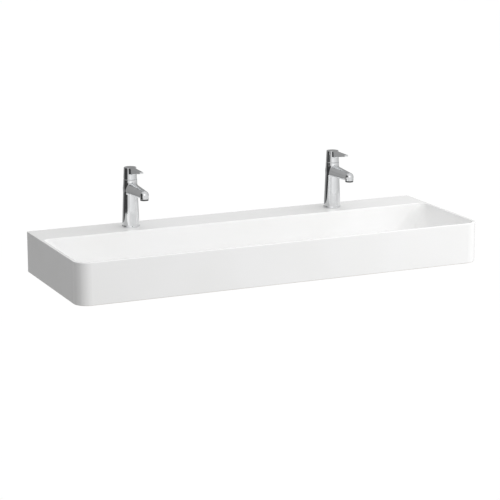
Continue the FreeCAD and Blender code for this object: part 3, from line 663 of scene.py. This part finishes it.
@dataclass(frozen=True)
class Turning:
    """A turned piece: an outline of (radius, height, corner round) swept about the upright axis.

    The outline runs up the outside. It starts and ends on the axis, or else it closes on itself.
    """

    outline: Profile
    threads: Sequence[Thread] = ()
    sides: int = 96
    round_steps: int = 5
    round_room: float = 0.45
    upright: float = 0.999
    least_r: float = 1.0

    @property
    def is_ring(self) -> bool:
        """Whether the outline closes on itself."""
        return self.outline[0][0] > 0.0

    def corner(self, at: int) -> list[tuple[float, ...]]:
        """Round one corner of the outline.

        Args:
            at: Number of the corner.

        Returns:
            Rows of radius, height and the two parts of the outward direction.
        """
        points = [np.array(corner[:2]) for corner in self.outline]
        here = points[at]
        come, leave = here - points[at - 1], points[(at + 1) % len(points)] - here
        if not self.is_ring and at in (0, len(points) - 1):
            run = leave if at == 0 else come
            run = run / np.linalg.norm(run)
            return [(*here, run[1], -run[0])]
        room = self.round_room * min(np.linalg.norm(come), np.linalg.norm(leave))
        come, leave = come / np.linalg.norm(come), leave / np.linalg.norm(leave)
        turn = math.atan2(come[0] * leave[1] - come[1] * leave[0], come @ leave)
        reach = min(self.outline[at][2] * abs(math.tan(turn / 2.0)), room)
        bend = reach / math.tan(turn / 2.0)
        centre = here - come * reach + bend * np.array((-come[1], come[0]))
        rows = []
        for angle in np.linspace(0.0, turn, self.round_steps + 1):
            r = come[0] * math.cos(angle) - come[1] * math.sin(angle)
            z = come[0] * math.sin(angle) + come[1] * math.cos(angle)
            rows.append((centre[0] + bend * z, centre[1] - bend * r, z, -r))
        return rows

    def rows(self) -> Array:
        """Round the outline's corners and cut its threaded faces into short steps.

        Returns:
            Rows of radius, height and the two parts of the outward direction.
        """
        rows = [row for at in range(len(self.outline)) for row in self.corner(at)]
        fine = []
        for here, there in zip(rows, rows[1:] + rows[:1]):
            fine.append(here)
            for thread in self.threads:
                fine += [(here[0], z, 1.0, 0.0) for z in thread.levels() if here[1] < z < there[1]]
        return np.array(fine)

    def mesh(self, name: str) -> bpy.types.Mesh:
        """Make the closed mesh of the turned piece.

        Args:
            name: Name of the mesh.

        Returns:
            The mesh, shaded by the outline's own direction.
        """
        rows = self.rows()
        turns = np.linspace(0.0, 2.0 * math.pi, self.sides, endpoint=False)[None, :]
        radius, z, out, up = (np.repeat(column[:, None], self.sides, 1) for column in rows.T)
        around = np.zeros_like(radius)
        for thread in self.threads:
            on_face = (out > self.upright) & (z > thread.low) & (z < thread.high)
            cut, climb, twist = thread.cut(z, turns)
            radius = radius - np.where(on_face, cut, 0.0)
            up = up + np.where(on_face, climb, 0.0)
            twist = twist / np.maximum(radius, self.least_r)
            around = around + np.where(on_face, twist, 0.0)
        cos, sin = np.cos(turns), np.sin(turns)
        points = np.stack((radius * cos, radius * sin, z), -1)
        normals = np.stack((out * cos - around * sin, out * sin + around * cos, up), -1)
        counts = [1 if r == 0.0 else self.sides for r in rows[:, 0]]
        starts = np.cumsum([0] + counts[:-1])
        steps = np.arange(self.sides)
        number = np.stack([start + steps % count for start, count in zip(starts, counts)])
        keep = np.stack([steps < count for count in counts])
        below = number if self.is_ring else number[:-1]
        above = np.roll(number, -1, 0)[: len(below)]
        quads = np.stack((below, np.roll(below, -1, 1), np.roll(above, -1, 1), above), -1)
        faces = [list(dict.fromkeys(quad)) for quad in quads.reshape(-1, 4).tolist()]
        return shaded_mesh(name, points[keep], faces, normals[keep])


def place(
    mesh: bpy.types.Mesh,
    name: str,
    finish: Slot,
    node: str,
    at: Vector | None = None,
    lean: float = 0.0,
) -> None:
    """Set a mesh in the frame in the stead of a node.

    Args:
        mesh: Mesh of the piece.
        name: Name of the piece.
        finish: Slot of the piece's finish.
        node: Node that the piece stands for and whose body it rides on.
        at: Place of the mesh's origin in metres, or none for the foot of the node.
        lean: Turn about X in degrees.
    """
    piece = bpy.data.objects.new(name, mesh)
    bpy.context.scene.collection.objects.link(piece)
    piece.location = foot_of(node) if at is None else at
    piece.rotation_euler.x = math.radians(lean)
    if not mesh.materials:
        mesh.materials.append(FINISHES[finish].material())
    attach(piece, frame["nodes"][node]["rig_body"])
    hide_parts(node)
    LOG.info("%s stands for %s", name, node)


def dress_nodes() -> None:
    """Give every node the finish of its slot, and report those that keep their shape."""
    for name, node in frame["nodes"].items():
        slot = Slot(node.data.materials[0].name.split(".")[0])
        node.data.materials.clear()
        node.data.materials.append(FINISHES[slot].material())
        if not node.hide_render:
            LOG.info("%s keeps its shape and takes %s", name, slot.value)


@dataclass(frozen=True)
class HexNut:
    """Hexagonal nut whose corners are turned off on both faces."""

    flats: float
    height: float
    bore_r: float
    step: float
    edge: float = 0.3
    face_share: float = 0.94
    bevel: float = 30.0
    room_steps: float = 2.0

    @classmethod
    def like(cls, node: str, bore_r: float, step: float) -> "HexNut":
        """Make a nut of a node's size.

        Args:
            node: Node of the nut, with two corners along X.
            bore_r: Radius of the hole.
            step: Step of the mesh.

        Returns:
            The nut.
        """
        size = size_of(node)
        return cls(size.y, size.z, bore_r, step)

    def field(self, x: Array, y: Array, z: Array) -> Array:
        """Measure the distance to the nut.

        Args:
            x: Places along two of the corners.
            y: Places across two of the flats.
            z: Heights over the lower face.

        Returns:
            The signed distances.
        """
        corner_r = self.flats / math.sqrt(3.0)
        turns = [k * math.pi / 3.0 for k in range(6)]
        corners = [(corner_r * math.cos(t), corner_r * math.sin(t)) for t in turns]
        prism = soft_outline(x, y, corners, self.edge)
        face_r = self.face_share * self.flats / 2.0
        fall = (corner_r - face_r) * math.tan(math.radians(self.bevel))
        out = np.hypot(x, y)
        rise = self.height - fall
        half = ((face_r, 0.0), (corner_r, fall), (corner_r, rise), (face_r, self.height))
        mirrored = [(-r, h) for r, h in reversed(half)]
        bevelled = soft_outline(out, z, [*half, *mirrored], self.edge)
        return crop(crop(prism, bevelled, self.edge), self.bore_r - out, self.edge)

    def mesh(self, name: str) -> bpy.types.Mesh:
        """Make the nut's mesh, with its origin in the lower face."""
        room = self.room_steps * self.step
        side = self.flats / math.sqrt(3.0) + room
        low, high = (-side, -side, -room), (side, side, self.height + room)
        return Casting(self.field, low, high, self.step).mesh(name)


@dataclass(frozen=True)
class WasteTube:
    """Flanged waste tube with its threads; the spider that carries the latch is a piece of its own.
    """

    tube_r: float = 20.95
    bore_r: float = 17.5
    mouth_r: float = 19.0
    mouth_depth: float = 10.0
    flange_r: float = 32.0
    flange_thickness: float = 3.0
    flange_round: float = 1.6
    groove_low: float = 27.5
    groove_high: float = 29.5
    groove_depth: float = 0.8
    thread_pitch: float = 2.3
    thread_depth: float = 0.8
    thread_gap: float = 1.0
    thread_end: float = 6.0
    edge: float = 0.3

    def mesh(self, height: float) -> bpy.types.Mesh:
        """Make the tube's mesh.

        Args:
            height: Height from the tail's end to the flange's top.

        Returns:
            The closed mesh, with its origin at the tail's end.
        """
        seat = height - self.flange_thickness
        mouth = height - self.mouth_depth
        groove_r = self.tube_r - self.groove_depth
        outline = (
            (self.bore_r, 0.0, self.edge),
            (self.tube_r, 0.0, self.edge),
            (self.tube_r, self.groove_low, self.edge),
            (groove_r, self.groove_low, self.edge),
            (groove_r, self.groove_high, self.edge),
            (self.tube_r, self.groove_high, self.edge),
            (self.tube_r, seat, self.edge),
            (self.flange_r, seat, self.edge),
            (self.flange_r, height, self.flange_round),
            (self.mouth_r, height, self.edge),
            (self.mouth_r, mouth, self.edge),
            (self.bore_r, mouth, self.edge),
        )
        gap, cut = self.thread_gap, (self.thread_pitch, self.thread_depth)
        tail = Thread(gap, self.groove_low - gap, *cut)
        upper = Thread(self.groove_high + gap, seat - self.thread_end, *cut)
        return Turning(outline, (tail, upper)).mesh("waste_tube")


@dataclass(frozen=True)
class Spider:
    """Three-armed carrier of the latch inside the waste tube."""

    arms: int = 3
    arm_width: float = 4.0
    arm_end: float = 19.2
    thickness: float = 5.0
    height: float = 8.0
    hub_r: float = 7.0
    hole_r: float = 3.05
    fillet: float = 2.0
    edge: float = 0.5
    room: float = 1.0
    step: float = 0.5

    def field(self, x: Array, y: Array, z: Array) -> Array:
        """Measure the distance to the spider.

        Args:
            x: Places across.
            y: Places towards the wall.
            z: Heights over the tail's end.

        Returns:
            The signed distances.
        """
        out = np.hypot(x, y)
        plan = out - self.hub_r
        for k in range(self.arms):
            turn = math.pi / 2.0 + 2.0 * math.pi * k / self.arms
            along = x * math.cos(turn) + y * math.sin(turn)
            across = y * math.cos(turn) - x * math.sin(turn)
            length = np.maximum(-along, along - self.arm_end)
            arm = np.maximum(np.abs(across) - self.arm_width / 2.0, length)
            plan = melt(plan, arm, self.fillet)
        middle = self.height + self.thickness / 2.0
        plate = crop(plan, np.abs(z - middle) - self.thickness / 2.0, self.edge)
        return np.maximum(plate, self.hole_r - out)

    def mesh(self) -> bpy.types.Mesh:
        """Make the spider's mesh, with its origin at the tail's end."""
        side = self.arm_end + self.room
        low = (-side, -side, self.height - self.room)
        high = (side, side, self.height + self.thickness + self.room)
        return Casting(self.field, low, high, self.step).mesh("waste_spider")


@dataclass(frozen=True)
class WastePlug:
    """Domed plug with the groove for its rubber ring and the hole for its stem."""

    cap_r: float = 30.0
    cap_edge: float = 2.0
    crown: float = 2.0
    crown_steps: int = 8
    body_r: float = 16.8
    body_height: float = 8.0
    ring_height: float = 3.8
    ring_wire_r: float = 1.5
    hole_r: float = 3.05
    hole_depth: float = 6.0
    edge: float = 0.8
    foot_round: float = 0.5
    neck_round: float = 0.4
    groove_round: float = 1.2
    crown_round: float = 20.0

    def mesh(self) -> bpy.types.Mesh:
        """Make the plug's mesh.

        Returns:
            The closed mesh, with its origin under the plug.
        """
        rim = self.body_height + self.cap_edge
        wire, middle = self.ring_wire_r, self.ring_height
        dome = []
        for k in range(1, self.crown_steps + 1):
            share = 1.0 - k / self.crown_steps
            dome.append((self.cap_r * share, rim + self.crown * (1.0 - share**2), self.crown_round))
        outline = (
            (0.0, self.hole_depth, 0.0),
            (self.hole_r, self.hole_depth, FINE_EDGE),
            (self.hole_r, 0.0, FINE_EDGE),
            (self.body_r, 0.0, self.foot_round),
            (self.body_r, middle - wire, FINE_EDGE),
            (self.body_r - wire, middle - wire, self.groove_round),
            (self.body_r - wire, middle + wire, self.groove_round),
            (self.body_r, middle + wire, FINE_EDGE),
            (self.body_r, self.body_height, self.neck_round),
            (self.cap_r, self.body_height, self.edge),
            (self.cap_r, rim, self.edge),
            *dome,
        )
        return Turning(outline).mesh("waste_plug")


@dataclass(frozen=True)
class Waste:
    """The push-open waste in the bowl's floor."""

    tube: WasteTube = WasteTube()
    spider: Spider = Spider()
    plug: WastePlug = WastePlug()
    nut_bore_r: float = 21.05
    nut_step: float = 0.8

    def build(self) -> None:
        """Set the waste's tube, spider, nut and plug in the frame."""
        tube = self.tube.mesh(size_of("waste_body").z)
        place(tube, "waste_tube", Slot.CHROME, "waste_body")
        place(self.spider.mesh(), "waste_spider", Slot.CHROME, "waste_body")
        nut = HexNut.like("waste_nut", self.nut_bore_r, self.nut_step)
        place(nut.mesh("waste_lock_nut"), "waste_lock_nut", Slot.BRASS, "waste_nut")
        place(self.plug.mesh(), "waste_plug_cap", Slot.CHROME, "waste_plug")


@dataclass(frozen=True)
class MixerBody:
    """Cast body of a mixer: conical column, spout, hollow foot and cartridge chamber."""

    foot_z: float = 0.2
    foot_r: float = 25.0
    foot_top: float = 3.0
    slope_top: float = 5.0
    base_r: float = 24.0
    top_r: float = 19.0
    top: float = 134.0
    edge: float = 0.5
    skirt_r: float = 23.6
    seal_top: float = 1.0
    spout_z: float = 108.3
    spout_root_r: float = 19.0
    spout_tip_r: float = 12.0
    spout_reach: float = 107.0
    corner: float = 1.0
    outlet_z: float = 95.4
    fillet: float = 5.0
    outlet_edge: float = 0.7
    chamber_r: float = 14.1
    chamber_z: float = 106.0
    thread_r: float = 14.95
    thread_z: float = 129.0
    hollow_low_r: float = 20.76
    hollow_high_r: float = 18.11
    block_z: float = 72.0
    inlet_x: float = 7.5
    inlet_y: float = 4.0
    inlet_r: float = 4.5
    inlet_top: float = 92.0
    aerator_r: float = 8.8
    aerator_top: float = 103.9
    rebate_r: float = 12.3
    rebate_z: float = 97.6
    inner_edge: float = 0.25
    room: float = 1.5
    step: float = 0.8

    def spout(self, x: Array, y: Array, z: Array) -> Array:
        """Measure the distance to the spout.

        Args:
            x: Places across.
            y: Places towards the wall.
            z: Heights over the deck.

        Returns:
            The signed distances.
        """
        ahead = -y
        on_run = np.clip(ahead, 0.0, self.spout_reach)
        taper = self.spout_tip_r - self.spout_root_r
        run_r = self.spout_root_r + taper * on_run / self.spout_reach
        run = np.sqrt(x**2 + (z - self.spout_z) ** 2 + (ahead - on_run) ** 2) - run_r
        on_drop = np.clip(z, self.outlet_z - self.spout_tip_r, self.spout_z)
        drop = np.sqrt(x**2 + (ahead - self.spout_reach) ** 2 + (z - on_drop) ** 2)
        tube = melt(run, drop - self.spout_tip_r, self.corner)
        return crop(tube, self.outlet_z - z, self.outlet_edge)

    def hollows(self, x: Array, y: Array, z: Array) -> Array:
        """Measure the distance to the body's inner spaces: chamber, foot, aerator seat and inlets.

        Args:
            x: Places across.
            y: Places towards the wall.
            z: Heights over the deck.

        Returns:
            The signed distances.
        """
        out = np.hypot(x, y)
        over, under = self.top + self.edge, self.foot_z - self.edge
        chamber = (
            (PAST_AXIS, self.chamber_z),
            (self.chamber_r, self.chamber_z),
            (self.chamber_r, self.thread_z),
            (self.thread_r, self.thread_z),
            (self.thread_r, over),
            (PAST_AXIS, over),
        )
        foot = (
            (PAST_AXIS, under),
            (self.skirt_r, under),
            (self.skirt_r, self.seal_top),
            (self.hollow_low_r, self.seal_top),
            (self.hollow_high_r, self.block_z),
            (PAST_AXIS, self.block_z),
        )
        space = np.minimum(outline_distance(out, z, chamber), outline_distance(out, z, foot))
        seat = np.hypot(x, y + self.spout_reach) - self.aerator_r
        space = np.minimum(space, np.maximum(seat, z - self.aerator_top))
        length = np.maximum(z - self.inlet_top, self.foot_z - z)
        for side in (-self.inlet_x, self.inlet_x):
            bore = np.hypot(x - side, y - self.inlet_y) - self.inlet_r
            space = np.minimum(space, np.maximum(bore, length))
        return space

    def field(self, x: Array, y: Array, z: Array) -> Array:
        """Measure the distance to the whole body.

        Args:
            x: Places across.
            y: Places towards the wall.
            z: Heights over the deck.

        Returns:
            The signed distances.
        """
        slope_r = self.base_r + (self.top_r - self.base_r) * self.slope_top / self.top
        half = (
            (-self.base_r, self.foot_z),
            (self.foot_r, self.foot_z),
            (self.foot_r, self.foot_top),
            (slope_r, self.slope_top),
            (self.top_r, self.top),
            (-self.base_r, self.top),
        )
        column = soft_outline(np.hypot(x, y), z, half, self.edge)
        solid = melt(column, self.spout(x, y, z), self.fillet)
        rebate = np.hypot(x, y + self.spout_reach) - self.rebate_r
        solid = crop(solid, -np.maximum(rebate, z - self.rebate_z), self.outlet_edge)
        return crop(solid, -self.hollows(x, y, z), self.inner_edge)

    def mesh(self) -> bpy.types.Mesh:
        """Make the body's mesh.

        Returns:
            The closed mesh, with its origin on the deck.
        """
        side = self.foot_r + self.room
        front = -self.spout_reach - self.spout_tip_r - self.room
        low, high = (-side, front, self.foot_z - self.room), (side, side, self.top + self.room)
        return Casting(self.field, low, high, self.step).mesh("mixer_body")


@dataclass(frozen=True)
class LeverHandle:
    """Hollow handle of a mixer: conical sleeve and flat lever in one casting."""

    bottom: float = 134.5
    base_r: float = 18.9
    top_r: float = 17.4
    top: float = 168.0
    edge: float = 0.5
    top_edge: float = 1.2
    bore_r: float = 15.2
    bore_top: float = 161.0
    reach: float = 88.0
    root_width: float = 16.0
    tip_width: float = 12.0
    root_thickness: float = 17.5
    tip_thickness: float = 4.2
    corner_r: float = 2.5
    lever_edge: float = 0.9
    fillet: float = 3.0
    pivot_z: float = 126.0
    relief_z: float = 134.3
    tilt: float = 20.0
    screw_z: float = 152.0
    cover_r: float = 3.2
    cover_y: float = 15.8
    cover_edge: float = 0.4
    room: float = 1.3
    step: float = 0.7

    def sleeve(self, out: Array, z: Array) -> Array:
        """Measure the distance to the sleeve, with its top left open to be cropped.

        Args:
            out: Distances from the axis.
            z: Heights over the deck.

        Returns:
            The signed distances.
        """
        over = 2.0 * self.top - self.bore_top
        bottom, base_r = self.bottom, self.base_r
        over_r = base_r + (self.top_r - base_r) * (over - bottom) / (self.top - bottom)
        half = ((base_r, bottom), (over_r, over), (-base_r, over), (-base_r, bottom))
        return soft_outline(out, z, half, self.edge)

    def lever(self, x: Array, y: Array, z: Array) -> Array:
        """Measure the distance to the lever, with its top left open to be cropped.

        Args:
            x: Places across.
            y: Places towards the wall.
            z: Heights over the deck.

        Returns:
            The signed distances.
        """
        root_y, half_root, half_tip = -self.bore_r, self.root_width / 2.0, self.tip_width / 2.0
        right = ((half_tip, -self.reach), (half_root, root_y), (half_root, 0.0))
        left = [(-across, along) for across, along in reversed(right)]
        plan = soft_outline(x, y, [*right, *left], self.corner_r)
        fall = (self.root_thickness - self.tip_thickness) / (self.reach - self.bore_r)
        low = self.top - self.root_thickness + fall * np.maximum(root_y - y, 0.0)
        return crop(plan, (low - z) / math.hypot(1.0, fall), self.lever_edge)

    def field(self, x: Array, y: Array, z: Array) -> Array:
        """Measure the distance to the handle.

        Args:
            x: Places across.
            y: Places towards the wall.
            z: Heights over the deck.

        Returns:
            The signed distances.
        """
        out = np.hypot(x, y)
        solid = melt(self.sleeve(out, z), self.lever(x, y, z), self.fillet)
        solid = crop(solid, z - self.top, self.top_edge)
        cover = np.maximum(np.hypot(x, z - self.screw_z) - self.cover_r, self.cover_y - y)
        solid = crop(solid, -cover, self.cover_edge)
        bore = np.maximum(out - self.bore_r, z - self.bore_top)
        angle = math.radians(self.tilt)
        lifted = (z - self.pivot_z) * math.cos(angle) - y * math.sin(angle)
        relief = self.relief_z - self.pivot_z - lifted
        return crop(crop(solid, -bore, self.edge), relief, self.edge)

    def mesh(self) -> bpy.types.Mesh:
        """Make the handle's mesh.

        Returns:
            The closed mesh, with its origin on the deck.
        """
        side = self.base_r + self.room
        low = (-side, -self.reach - self.room, self.bottom - self.room)
        high = (side, side, self.top + self.room)
        return Casting(self.field, low, high, self.step).mesh("mixer_handle")


@dataclass(frozen=True)
class MixerFixings:
    """Pieces that hold a mixer: threaded stud, nut and clamp plate under the deck."""

    thread_pitch: float = 1.25
    thread_depth: float = 0.6
    stud_sides: int = 24
    stud_round: float = 0.8
    nut_bore_r: float = 4.05
    nut_step: float = 0.4
    plate_r: float = 26.0
    slot_half: float = 14.0
    slot_front: float = -2.5
    hole_r: float = 4.1
    hole_y: float = -10.5
    plate_edge: float = 0.5
    slot_round: float = 2.0
    plate_room: float = 1.5
    plate_step: float = 0.6

    def stud(self, node: str) -> bpy.types.Mesh:
        """Make the stud's mesh.

        Args:
            node: Node that gives its size.

        Returns:
            The closed mesh, with its origin at the lower end.
        """
        size = size_of(node)
        radius = size.x / 2.0
        outline = (
            (0.0, 0.0, 0.0),
            (radius, 0.0, self.stud_round),
            (radius, size.z, self.stud_round),
            (0.0, size.z, 0.0),
        )
        end = self.stud_round
        thread = Thread(end, size.z - end, self.thread_pitch, self.thread_depth)
        return Turning(outline, (thread,), self.stud_sides).mesh("fixing_stud")

    def plate(self, thickness: float) -> bpy.types.Mesh:
        """Make the horseshoe plate's mesh.

        Args:
            thickness: Thickness of the plate.

        Returns:
            The closed mesh, with its origin under the mixer's axis.
        """

        def field(x: Array, y: Array, z: Array) -> Array:
            """Measure the distance to the plate."""
            slot = np.maximum(np.abs(x) - self.slot_half, self.slot_front - y)
            plan = crop(np.hypot(x, y) - self.plate_r, -slot, self.slot_round)
            plan = np.maximum(plan, self.hole_r - np.hypot(x, y - self.hole_y))
            half = thickness / 2.0
            return crop(plan, np.abs(z - half) - half, self.plate_edge)

        room = self.plate_room
        side = self.plate_r + room
        low, high = (-side, -side, -room), (side, side, thickness + room)
        return Casting(field, low, high, self.plate_step).mesh("clamp_plate")


@dataclass(frozen=True)
class MixerTrim:
    """Small turned pieces of a mixer: aerator ring and the cover of the handle's screw."""

    lip_r: float = 11.5
    lip_height: float = 4.0
    thread_r: float = 8.75
    bore_r: float = 6.95
    edge: float = 0.5
    cover_r: float = 3.05
    cover_rise: float = 1.9
    cover_dome: float = 0.35
    cover_edge: float = 0.3
    dome_round: float = 6.0
    cover_sides: int = 48

    def aerator_ring(self, height: float) -> bpy.types.Mesh:
        """Make the aerator ring's mesh.

        Args:
            height: Height of the ring.

        Returns:
            The closed mesh, with its origin at the lip.
        """
        outline = (
            (self.bore_r, 0.0, self.edge),
            (self.lip_r, 0.0, self.edge),
            (self.lip_r, self.lip_height, FINE_EDGE),
            (self.thread_r, self.lip_height, FINE_EDGE),
            (self.thread_r, height, FINE_EDGE),
            (self.bore_r, height, FINE_EDGE),
        )
        return Turning(outline).mesh("aerator_ring")

    def cover(self) -> bpy.types.Mesh:
        """Make the screw cover's mesh, with its origin at the inner end."""
        share = 0.5
        shoulder = self.cover_rise + (1.0 - share**2) * self.cover_dome
        outline = (
            (0.0, 0.0, 0.0),
            (self.cover_r, 0.0, FINE_EDGE),
            (self.cover_r, self.cover_rise, self.cover_edge),
            (share * self.cover_r, shoulder, self.dome_round),
            (0.0, self.cover_rise + self.cover_dome, 0.0),
        )
        return Turning(outline, sides=self.cover_sides).mesh("screw_cover")


@dataclass(frozen=True)
class Mixers:
    """The two mixers, alike but for their places."""

    body: MixerBody = MixerBody()
    handle: LeverHandle = LeverHandle()
    fixings: MixerFixings = MixerFixings()
    trim: MixerTrim = MixerTrim()

    def build(self) -> None:
        """Set both mixers' pieces in the frame, from the same meshes."""
        first = Side.LEFT.value
        fixings = self.fixings
        nut = HexNut.like(f"{first}_clamp_nut", fixings.nut_bore_r, fixings.nut_step)
        meshes = {
            "body": self.body.mesh(),
            "handle": self.handle.mesh(),
            "stud": fixings.stud(f"{first}_fixing_stud"),
            "nut": nut.mesh("clamp_nut"),
            "plate": fixings.plate(size_of(f"{first}_clamp_plate").z),
            "ring": self.trim.aerator_ring(size_of(f"{first}_aerator_housing").z),
            "cover": self.trim.cover(),
        }
        for side in Side:
            self.set_up(side.value, meshes)

    def set_up(self, word: str, meshes: dict[str, bpy.types.Mesh]) -> None:
        """Set one mixer's pieces in the frame.

        Args:
            word: Word that the names of its nodes start with.
            meshes: Meshes of the pieces.
        """
        deck = foot_of(f"{word}_base_seal")
        place(meshes["body"], f"{word}_body_cast", Slot.CHROME, f"{word}_tap_body", deck)
        place(meshes["handle"], f"{word}_lever_handle", Slot.CHROME, f"{word}_handle", deck)
        place(meshes["stud"], f"{word}_threaded_stud", Slot.STEEL, f"{word}_fixing_stud")
        place(meshes["nut"], f"{word}_stud_nut", Slot.BRASS, f"{word}_clamp_nut")
        under = Vector((deck.x, deck.y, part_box(f"{word}_clamp_plate")[0].z))
        place(meshes["plate"], f"{word}_horseshoe_plate", Slot.STEEL, f"{word}_clamp_plate", under)
        place(meshes["ring"], f"{word}_aerator_ring", Slot.PLASTIC, f"{word}_aerator_housing")
        plug, flat = f"{word}_handle_plug", -90.0
        low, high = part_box(plug)
        inner = Vector((deck.x, low.y, (low.z + high.z) / 2.0))
        place(meshes["cover"], f"{word}_screw_cover", Slot.CHROME, plug, inner, flat)


@dataclass(frozen=True)
class Patch:
    """Round part of the sky that is darker or brighter than the rest."""

    towards: Point
    full: float
    ends: float
    share: float

    def strength(self, sheet: NodeSheet) -> Socket:
        """Work out the share of light that is left, from the direction.

        Args:
            sheet: Node tree of the world.

        Returns:
            The share, which is one outside the patch.
        """
        aim = sheet.add("VectorMath")
        aim.operation = "DOT_PRODUCT"
        aim.inputs[1].default_value = Vector(self.towards).normalized()
        sheet.join(sheet.place, aim.inputs[0])
        ends, full = (math.cos(math.radians(angle)) for angle in (self.ends, self.full))
        return sheet.range(aim.outputs["Value"], 1.0, self.share, ends, full)


@dataclass(frozen=True)
class Sky:
    """Soft light from all round: six lobes along the axes, with patches."""

    right: float
    left: float
    back: float
    front: float
    up: float
    down: float
    patches: tuple[Patch, ...] = ()

    def strength(self, sheet: NodeSheet) -> Socket:
        """Work out the light's strength from its direction.

        Args:
            sheet: Node tree of the world.

        Returns:
            The strength.
        """
        pairs = ((self.right, self.left), (self.back, self.front), (self.up, self.down))
        total: float | Socket = 0.0
        for part, (plus, minus) in zip(sheet.axes(sheet.place), pairs):
            for edge, power in (("MAXIMUM", plus), ("MINIMUM", minus)):
                half = sheet.math(edge, part, 0.0)
                lobe = sheet.math("MULTIPLY", sheet.math("MULTIPLY", half, half), power)
                total = sheet.math("ADD", lobe, total)
        for patch in self.patches:
            total = sheet.math("MULTIPLY", total, patch.strength(sheet))
        return total


@dataclass(frozen=True)
class Lamp:
    """Soft square lamp that looks at the origin, unseen in the plating and the glaze."""

    name: str
    at: Point
    power: float
    size: float = 1.0

    def hang(self) -> None:
        """Hang the lamp."""
        data = bpy.data.lights.new(self.name, "AREA")
        data.energy = self.power
        data.size = self.size
        light = bpy.data.objects.new(self.name, data)
        light.location = self.at
        light.rotation_euler = Vector(self.at).to_track_quat("Z", "Y").to_euler()
        light.visible_glossy = False
        bpy.context.scene.collection.objects.link(light)


@dataclass(frozen=True)
class Studio:
    """Pale floor, soft light and camera."""

    camera_at: Point = (-2.1042, -4.7816, 1.1744)
    look_down: float = 13.263
    look_right: float = 24.526
    focal_pixels: float = 1847.0
    image_pixels: float = 500.0
    sensor: float = 36.0
    view_depth: float = 240.0
    floor_z: float = -0.85
    floor_half: float = 60.0
    floor_glow: float = 1.01
    floor_tint: Colour = (0.995, 0.995, 0.995)
    floor_waves: float = 0.4
    daylight: Sky = Sky(right=0.90, left=0.0, back=0.98, front=0.85, up=1.34, down=0.32)
    mirrored: Sky = Sky(
        right=0.65,
        left=0.70,
        back=0.23,
        front=0.90,
        up=0.80,
        down=0.45,
        patches=(
            Patch(towards=(-0.9781, 0.2079, 0.0), full=30.0, ends=44.0, share=0.08),
            Patch(towards=(-0.321, -0.883, 0.342), full=14.0, ends=32.0, share=1.5),
        ),
    )
    lamps: tuple[Lamp, ...] = (
        Lamp("key", (0.9, -1.6, 0.5), 6.9),
        Lamp("fill", (1.1, -0.2, 0.9), 2.4),
    )

    def build(self) -> None:
        """Set up the whole studio."""
        self.set_camera()
        self.lay_floor()
        self.hang_sky()
        for lamp in self.lamps:
            lamp.hang()
        bpy.context.scene.view_settings.view_transform = "Standard"
        LOG.info("studio is set up")

    def hang_sky(self) -> None:
        """Make the world: one sky gives light, one shows in shiny faces, and the paper is white."""
        world = bpy.data.worlds.new("studio_sky")
        bpy.context.scene.world = world
        world.use_nodes = True
        sheet = NodeSheet(world.node_tree, "Generated")
        rays = sheet.add("LightPath").outputs
        light = world.node_tree.nodes["Background"]
        light.inputs["Color"].default_value = (*WHITE, 1.0)
        day, mirrored = self.daylight.strength(sheet), self.mirrored.strength(sheet)
        change = sheet.math("SUBTRACT", mirrored, day)
        more = sheet.math("MULTIPLY", change, rays["Is Glossy Ray"])
        sheet.join(sheet.math("ADD", day, more), light.inputs["Strength"])
        paper = sheet.add("Background")
        paper.inputs["Color"].default_value = (*WHITE, 1.0)
        choice = sheet.add("MixShader")
        sheet.join(rays["Is Camera Ray"], choice.inputs["Fac"])
        sheet.join(light.outputs["Background"], choice.inputs[1])
        sheet.join(paper.outputs["Background"], choice.inputs[2])
        ends = world.node_tree.nodes["World Output"]
        sheet.join(choice.outputs["Shader"], ends.inputs["Surface"])

    def set_camera(self) -> None:
        """Put the camera at the photograph's place."""
        data = bpy.data.cameras.new("camera")
        data.sensor_width = self.sensor
        data.lens = self.focal_pixels / self.image_pixels * self.sensor
        data.clip_end = self.view_depth
        camera = bpy.data.objects.new("camera", data)
        camera.location = self.camera_at
        pitch, turn = math.radians(90.0 - self.look_down), -math.radians(self.look_right)
        camera.rotation_euler = (pitch, 0.0, turn)
        bpy.context.scene.collection.objects.link(camera)
        bpy.context.scene.camera = camera

    def lay_floor(self) -> None:
        """Lay a bright floor far enough out to fill the view, open to views from below."""
        half = self.floor_half
        mesh = bpy.data.meshes.new("floor")
        plan = ((-half, -half), (half, -half), (half, half), (-half, half))
        corners = [(x, y, 0.0) for x, y in plan]
        mesh.from_pydata(corners, [], [(0, 1, 2, 3)])
        floor = bpy.data.objects.new("floor", mesh)
        floor.location.z = self.floor_z
        bpy.context.scene.collection.objects.link(floor)
        paper = bpy.data.materials.new("floor_paper")
        paper.use_nodes = True
        sheet = NodeSheet(paper.node_tree)
        glow = sheet.add("Emission")
        cloud = sheet.range(sheet.noise(self.floor_waves, SOFT))
        tone = sheet.mix(cloud, WHITE, self.floor_tint)
        sheet.join(tone, glow.inputs["Color"])
        glow.inputs["Strength"].default_value = self.floor_glow
        choice = sheet.add("MixShader")
        sheet.join(sheet.add("NewGeometry").outputs["Backfacing"], choice.inputs["Fac"])
        sheet.join(glow.outputs["Emission"], choice.inputs[1])
        sheet.join(sheet.add("BsdfTransparent").outputs["BSDF"], choice.inputs[2])
        ends = paper.node_tree.nodes["Material Output"]
        sheet.join(choice.outputs["Shader"], ends.inputs["Surface"])
        mesh.materials.append(paper)
        for ray in ("diffuse", "glossy", "transmission", "shadow"):
            setattr(floor, f"visible_{ray}", False)


def main() -> None:
    """Build every sub-assembly in order."""
    logging.basicConfig(level=logging.INFO, format="%(message)s")
    Studio().build()
    Waste().build()
    Mixers().build()
    dress_nodes()


if __name__ == "__main__":
    main()
